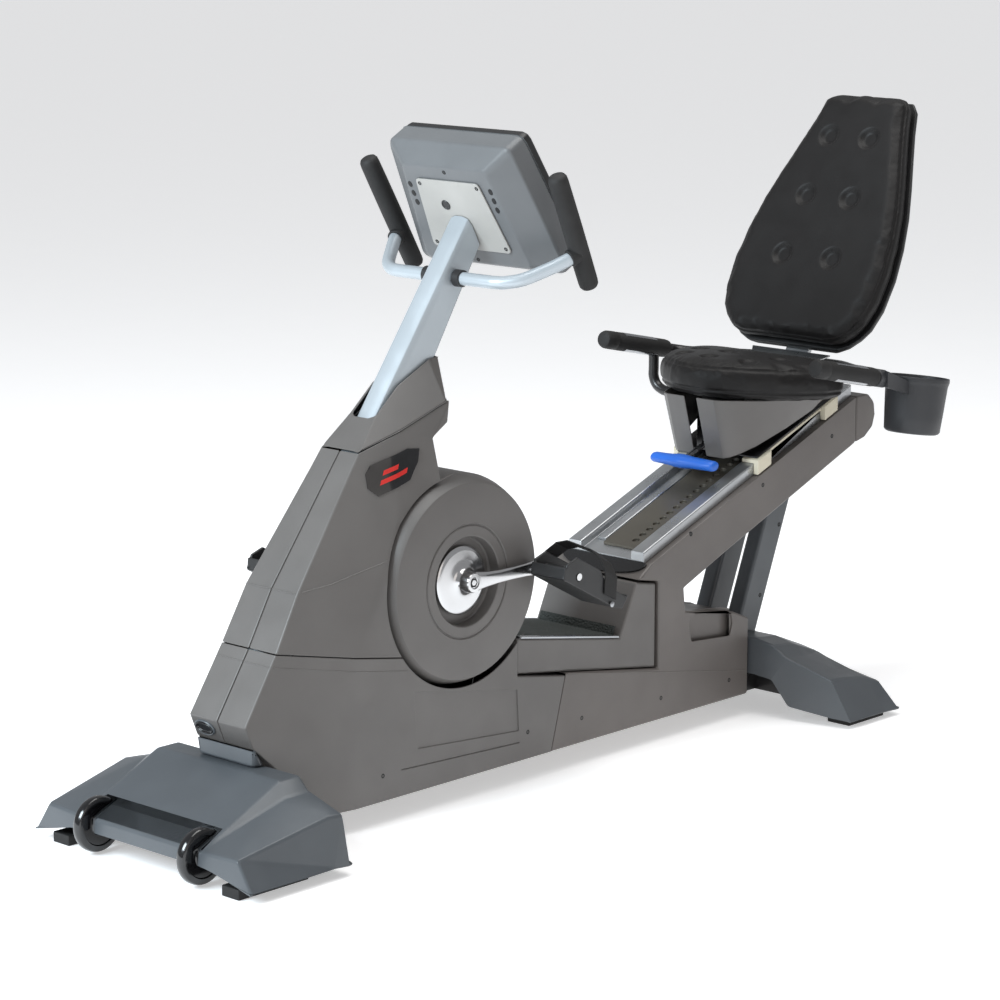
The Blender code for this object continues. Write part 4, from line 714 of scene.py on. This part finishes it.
path = [at(x, -y, max(seat_bar_z(x), SEAT_BAR_LOWEST)) for x, y in SEAT_BAR]
path += [at(x, y, max(seat_bar_z(x), SEAT_BAR_LOWEST)) for x, y in reversed(SEAT_BAR)]
bar = tube("bar", curve_through(path, 6), BAR_RADIUS)
strut = tube("strut", curve_through([at(STRUT_X, y, z) for y, z in STRUT], 6), 0.0110)
stand_in(smooth(join("seat_bars", [bar, strut]), 40.0), "seat_handlebar")
for side, word in SIDES:
    end = 1.738 if side < 0 else 1.745
    shape = [(1.5390, 0.005), (1.5398, 0.0120), (1.5420, 0.0165), (1.5480, 0.0190),
             (1.5600, 0.0195), (1.5720, 0.0195), (1.5735, 0.0186), (1.5760, 0.0186),
             (1.5775, 0.0195), (end - 0.012, 0.0195), (end - 0.003, 0.0186), (end, 0.0140)]
    grip = tube("seat_grip_%s_look" % word,
                [at(x, side * SEAT_BAR_Y, seat_bar_z(x)) for x, r in shape],
                [r for x, r in shape], 40)
    stand_in(smooth(grip, 40.0), "seat_grip_" + word)
    pulse_plate("pulse_plate_%s_top" % word, side, 1.0)
    pulse_plate("pulse_plate_%s_under" % word, side, -1.0)

# Cup holder, leaning back a little, with its clamp and arm
CUP = [(0.0, 0.0), (0.0500, 0.0), (0.0545, 0.0018), (0.0580, 0.0060), (0.0600, 0.0350),
       (0.0603, 0.0370), (0.0645, 0.1000), (0.0665, 0.1070), (0.0672, 0.1100),
       (0.0672, 0.1165), (0.0664, 0.1180), (0.0645, 0.1180), (0.0635, 0.1165),
       (0.0610, 0.1000), (0.0545, 0.0080), (0.0530, 0.0055), (0.0, 0.0050)]
place = Matrix.Translation(at(1.873, -0.278, 0.568)) @ Matrix.Rotation(math.radians(8), 4, "Y")
cup = rounded(lathe("cup", CUP, place, 80), 0.0008, 40.0, 2)
clamp = tube("clamp", [at(x, -SEAT_BAR_Y, seat_bar_z(x))
                       for x in (1.7395, 1.7410, 1.7660, 1.7680)],
             [0.0172, 0.0185, 0.0185, 0.0172], 36)
arm = prism("arm", [(1.755, 0.680), (1.834, 0.655), (1.834, 0.681), (1.755, 0.7135)],
            -0.3020, -0.2935)
stand_in(smooth(join("cup_holder_look", [cup, clamp, arm])), "cup_holder")

# Seat lever: place across the machine and swelling of each section of the paddle
LEVER = [(-0.0900, 0.30), (-0.0893, 0.62), (-0.0870, 0.88), (-0.0820, 1.00), (-0.0600, 1.04),
         (-0.0300, 1.12), (-0.0120, 1.28), (0.0, 1.36), (0.0120, 1.28), (0.0250, 1.12),
         (0.0450, 1.04), (0.0670, 1.00), (0.0720, 0.88), (0.0743, 0.62), (0.0750, 0.30)]
HUB = [(0.0047, -0.012), (0.0095, -0.012), (0.0105, -0.011), (0.0105, 0.011),
       (0.0095, 0.012), (0.0047, 0.012)]
rings = [[at(1.4665 + 0.0152 * scale * c, y, 0.5290 + 0.0108 * scale * s)
          for c, s in circle(32)] for y, scale in LEVER]
stand_in(smooth(loft("lever_paddle", rings), 60.0), "seat_lever")
rod = tube("lever_rod", [at(1.556, 0, 0.5600), at(1.520, 0, 0.5475), at(1.482, 0, 0.5342)],
           0.0060, 24)
hub = lathe("hub", HUB, across(1.560, 0.560), 32, True)
dress(smooth(join("lever_stem", [rod, hub])), "steel", "lever")


# What lies on the seat beam
def beam_strip(name, section, stations):
    """Bar of a (y, height over the track base) section between two stations of the beam."""
    return loft(name, [[beam(x, y, h) for y, h in section] for x in stations])


RACK = ((-0.060, 0.0064), (0.030, 0.0064), (0.030, 0.0120), (-0.060, 0.0120))
CHANNEL = ((0.036, 0.0064), (0.058, 0.0064), (0.058, 0.0100), (0.055, 0.0112),
           (0.039, 0.0112), (0.036, 0.0100))
HOLE_COUNT = 27
HOLE_START = 1.285
HOLE_PITCH = 0.0208
HOLE_Y = -0.036

# Rack with its row of lock holes
strip = beam_strip("lock_rack", RACK, (1.262, 1.860))
holes = []
for k in range(HOLE_COUNT):
    rim = [(HOLE_START + HOLE_PITCH * k + 0.0062 * c, HOLE_Y + 0.0080 * s)
           for c, s in circle(16)]
    holes.append(loft("hole", [[beam(x, y, h) for x, y in rim] for h in (0.0072, 0.0150)]))
cut(strip, join("holes", holes))
rounded(strip, 0.0008, 40.0, 2)
dress(strip, "black_paint", "root", ("hole_rack",), RACK_OLIVE)

# Channel strip on the far side of the rack
channel = beam_strip("track_channel", CHANNEL, (1.275, 1.850))
dress(smooth(rounded(channel, 0.0006, 30.0, 2)), "track_silver")

# Black gloss crescent on the front of the beam, under the track's end: painted shade of the dark
# gap between the track's end and the cover
CRESCENT_TOP = (1.235, 0.3656)
CRESCENT_LOW = (1.203, 0.3410)
CRESCENT_HALF = 0.108
rings = []
for k in range(33):
    y = -CRESCENT_HALF + 2 * CRESCENT_HALF * k / 32
    bulge = math.sqrt(max(0.0, 1.0 - (y / 0.1085) ** 2))
    reach = 0.10 + 0.80 * bulge
    low = (CRESCENT_TOP[0] + (CRESCENT_LOW[0] - CRESCENT_TOP[0]) * reach,
           CRESCENT_TOP[1] + (CRESCENT_LOW[1] - CRESCENT_TOP[1]) * reach)
    rings.append([at(x - 0.61 * lift, y, z + 0.79 * lift) for (x, z), lift in
                  ((CRESCENT_TOP, -0.001), (CRESCENT_TOP, 0.0055), (low, 0.0040), (low, -0.001))])
# The crescent is a black sheet standing in for the shade in that gap
dress(smooth(loft("track_front_painted_shade", rings), 50.0), "black_gloss")

# Floors of the two lifting pockets, and the step's trim strips
POCKET = [(1.352, 0.184), (1.500, 0.173), (1.506, 0.205), (1.498, 0.232), (1.475, 0.238),
          (1.368, 0.250), (1.350, 0.243)]
TRIM = ((0.1010, -0.0005), (0.1118, -0.0005), (0.1118, 0.0026), (0.1105, 0.0036),
        (0.1022, 0.0036), (0.1010, 0.0026))
TRIM_ENDS = ((0.864, 0.2845), (1.148, 0.2350))
for side, word in SIDES:
    pocket = prism("lift_pocket_" + word, POCKET, side * 0.1010, side * 0.1035)
    dress(smooth(pocket, 20.0), "seat_beam_brown")
for side, word in SIDES:
    rings = [[at(x, side * y, z + h) for y, h in TRIM] for x, z in TRIM_ENDS]
    dress(smooth(loft("step_trim_" + word, rings), 20.0), "steel")

# Console details, placed by distance down its face, across it, and out to the rider
CONSOLE_TOP = (0.782, 1.224)
CONSOLE_OUT = (0.88, 0.475)
CONSOLE_DOWN = (0.475, -0.88)


def console(d, y, n):
    """Point d down the console from its top edge, y across and n out to the rider."""
    return at(CONSOLE_TOP[0] + CONSOLE_DOWN[0] * d + CONSOLE_OUT[0] * n, y,
              CONSOLE_TOP[1] + CONSOLE_DOWN[1] * d + CONSOLE_OUT[1] * n)


CONSOLE_BACK = Vector((-CONSOLE_OUT[0], 0.0, -CONSOLE_OUT[1]))
CONSOLE_SCREWS = ((0.071, 0.072, -0.0369), (0.071, -0.074, -0.0369), (0.203, 0.088, -0.0369),
                  (0.203, -0.090, -0.0369), (0.044, 0.0, -0.0331), (0.238, 0.0, -0.0331))
CABLE_HOLE = [(0.0, 0.0004), (0.0070, 0.0004), (0.0078, 0.0012), (0.0095, 0.0014),
              (0.0105, 0.0004), (0.0105, -0.0020), (0.0, -0.0020)]
pieces = [screw(console(*spot), CONSOLE_BACK, 0.0042) for spot in CONSOLE_SCREWS]
dress(smooth(join("console_screws", pieces)), "black_plastic", look=SEAM_DARK)
hole = lathe("console_cable_hole", CABLE_HOLE,
             facing(console(0.115, 0.024, -0.0372), CONSOLE_BACK), 32)
dress(smooth(hole), "black_plastic")
vents = []
for side, word in SIDES:
    for d in (0.078, 0.098, 0.118):
        vents.append(loft("vent", [[console(d + 0.0065 * c, side * (0.1035 + 0.0048 * s),
                                            -0.0330 - lift) for c, s in circle(20)]
                                   for lift in (-0.0012, 0.0008)]))
dress(smooth(join("console_vents", vents)), "black_plastic", look=SEAM_DARK)
buttons = []
for row in range(3):
    for column in range(5):
        y = -0.060 + 0.030 * column
        d = 0.219 + 0.016 * row
        buttons.append(loft("button", [[console(d + 0.0055 * scale * s,
                                                y + 0.0105 * scale * c, 0.0640 + lift)
                                        for c, s in circle(20)]
                                       for lift, scale in ((0.0, 1.0), (0.0018, 1.0),
                                                           (0.0024, 0.86))]))
dress(smooth(join("console_buttons", buttons)), "console_grey")

# Lip round the power inlet
INLET_OUT = Vector((-0.040, 0.0, -0.016)).normalized()
INLET_UP = Vector((-0.016, 0.0, 0.040)).normalized()
INLET = at(0.197, 0.040, 0.216)
rings = [[INLET + Vector((0, 0.0200 * c * scale, 0)) + INLET_UP * 0.0120 * s * scale
          + INLET_OUT * lift for c, s in circle(40)]
         for scale, lift in ((1.30, -0.001), (1.30, 0.0025), (1.20, 0.0040), (1.06, 0.0030),
                             (1.02, -0.001))]
dress(smooth(loft("inlet_lip", rings, closed=True)), "base_slate")

# Pads
PAD_VOXEL = 0.0055
PAD_PRESSURE = 4.0
PAD_FRAMES = 16
PAD_MOST_MOVE = 0.0040


def blown_up(node, shrink):
    """Closed cushion: remeshed, inflated as cloth, and capped in how far it moves."""
    source = NODES[node].data
    obj = build(node + "_cushion", [v.co for v in source.vertices],
                [tuple(p.vertices) for p in source.polygons])
    mod = obj.modifiers.new("mesh", "REMESH")
    mod.mode = "VOXEL"
    mod.voxel_size = PAD_VOXEL
    apply_modifiers(obj)
    relax = obj.modifiers.new("relax", "SMOOTH")
    relax.factor = 0.5
    relax.iterations = 6
    apply_modifiers(obj)
    with mesh_edit(obj.data) as bm:
        bm.normal_update()
        moves = [v.normal * -shrink for v in bm.verts]
        for vert, move in zip(bm.verts, moves):
            vert.co += move
    start = [v.co.copy() for v in obj.data.vertices]
    cloth = obj.modifiers.new("Cloth", "CLOTH")
    cloth.settings.quality = 5
    cloth.settings.use_pressure = True
    cloth.settings.uniform_pressure_force = PAD_PRESSURE
    cloth.settings.effector_weights.gravity = 0.0
    cloth.settings.tension_stiffness = 15.0
    cloth.settings.bending_stiffness = 0.5
    cloth.point_cache.frame_start = 1
    cloth.point_cache.frame_end = 20
    scene = bpy.context.scene
    for number in range(1, PAD_FRAMES + 1):
        scene.frame_set(number)
    apply_modifiers(obj)
    scene.frame_set(1)
    for vert, home in zip(obj.data.vertices, start):
        move = vert.co - home
        if move.length > PAD_MOST_MOVE:
            vert.co = home + move * (PAD_MOST_MOVE / move.length)
    return obj


def subdivided(obj):
    mod = obj.modifiers.new("fine", "SUBSURF")
    mod.levels = 1
    return apply_modifiers(obj)


def finish_pad(obj, node):
    subdivided(obj)
    smooth(obj, 180.0)
    stand_in(obj, node)


def press(obj, centres, radius, depth, direction):
    """Dimples: move the points near each centre along direction."""
    direction = Vector(direction).normalized()
    for vert in obj.data.vertices:
        for centre in centres:
            off = vert.co - centre
            off -= direction * off.dot(direction)
            if abs((vert.co - centre).dot(direction)) > 0.03:
                continue
            reach = off.length / radius
            if reach < 1.0:
                share = min(1.0, (1.0 - reach) / 0.55)
                vert.co += direction * depth * share * share * (3.0 - 2.0 * share)


def seam(obj, distance, width, depth):
    """Sink a line of stitching where distance(point) is near zero."""
    for vert, normal in [(v, v.normal.copy()) for v in obj.data.vertices]:
        reach = abs(distance(vert.co)) / width
        if reach < 1.0:
            vert.co -= normal * depth * (1.0 - reach * reach)


def over_seat_base(p):
    """Height of a frame point over the seat pad's sloping underside."""
    return p.z - (0.660 - 0.060 * (p.x + STATION_SHIFT - 1.490))


def off_backrest(p):
    """Distance of a frame point behind the backrest pad's front plane."""
    return (p - BACKREST_FRONT).dot(INWARD)


seat = subdivided(blown_up("seat_pad", 0.0022))
dips = [at(x, y, 0.735) for x, y in ((1.5603, 0.0066), (1.574, -0.085), (1.574, 0.085),
                                     (1.650, 0.0290), (1.650, -0.105), (1.650, 0.105))]
press(seat, dips, 0.024, 0.0060, (0, 0, -1))
seam(seat, lambda p: over_seat_base(p) - 0.0165, 0.0045, 0.0024)
seam(seat, lambda p: over_seat_base(p) - 0.0615, 0.0040, 0.0016)
finish_pad(seat, "seat_pad")

RECLINE = math.radians(30.0)
INWARD = Vector((math.cos(RECLINE), 0.0, -math.sin(RECLINE)))
BACKREST_FRONT = at(1.762, 0.0, 0.729)
backrest = subdivided(blown_up("backrest_pad", 0.0016))
dips = []
for x, z, y in ((2.009, 1.151, 0.053), (1.933, 1.034, 0.058), (1.865, 0.914, 0.064)):
    dips += [at(x, y, z), at(x, -y, z)]
press(backrest, dips, 0.028, 0.0085, INWARD)
seam(backrest, lambda p: off_backrest(p) - 0.0170, 0.0045, 0.0026)
seam(backrest, lambda p: off_backrest(p) - 0.0400, 0.0045, 0.0020)
finish_pad(backrest, "backrest_pad")

# Floor, light and camera
FLOOR_GLOW = 0.42
SKY_LEVEL = 0.36
floor = build("floor", [(-60, -60, 0), (60, -60, 0), (60, 60, 0), (-60, 60, 0)], [(0, 1, 2, 3)])
floor.data.materials.append(surface("floor_pale", (246, 246, 247), 0.7, grain=60, bump=0.01,
                                    mottle=0.006, wear=0.0))
pale = floor.data.materials[0].node_tree.nodes["Principled BSDF"]
pale.inputs["Emission Color"].default_value = (1.0, 1.0, 1.0, 1.0)
pale.inputs["Emission Strength"].default_value = FLOOR_GLOW

world = bpy.data.worlds.new("studio")
bpy.context.scene.world = world
world.use_nodes = True
sky = world.node_tree.nodes["Background"]
sky.inputs["Color"].default_value = (0.97, 0.98, 1.0, 1.0)
sky.inputs["Strength"].default_value = SKY_LEVEL


def lamp(name, place, target, power, size, colour):
    """Square area lamp of size metres and power watts, aimed at target."""
    data = bpy.data.lights.new(name, "AREA")
    data.energy = power
    data.size = size
    data.color = colour
    obj = bpy.data.objects.new(name, data)
    obj.location = place
    obj.rotation_euler = (Vector(target) - Vector(place)).to_track_quat("-Z", "Y").to_euler()
    bpy.context.scene.collection.objects.link(obj)


lamp("key", (-4.6, 0.9, 2.9), (0.0, 0.0, 0.6), 285.0, 2.0, (0.82, 0.93, 1.0))
lamp("top", (0.4, -0.4, 4.4), (0.2, 0.0, 0.4), 120.0, 3.4, (1.0, 0.99, 0.97))
lamp("fill", (-1.6, -4.6, 1.6), (0.0, 0.0, 0.5), 16.0, 2.6, (1.0, 0.92, 0.85))

view = bpy.data.cameras.new("camera")
view.lens = 119.16
view.sensor_width = 36.0
view.clip_end = 60.0
camera = bpy.data.objects.new("camera", view)
camera.location = (-4.6710, -4.267, 1.8)
aim = Vector((0.7145, 0.6704, -0.1998))
camera.rotation_euler = aim.to_track_quat("-Z", "Y").to_euler()
bpy.context.scene.collection.objects.link(camera)
bpy.context.scene.camera = camera
bpy.context.scene.view_settings.view_transform = "Standard"
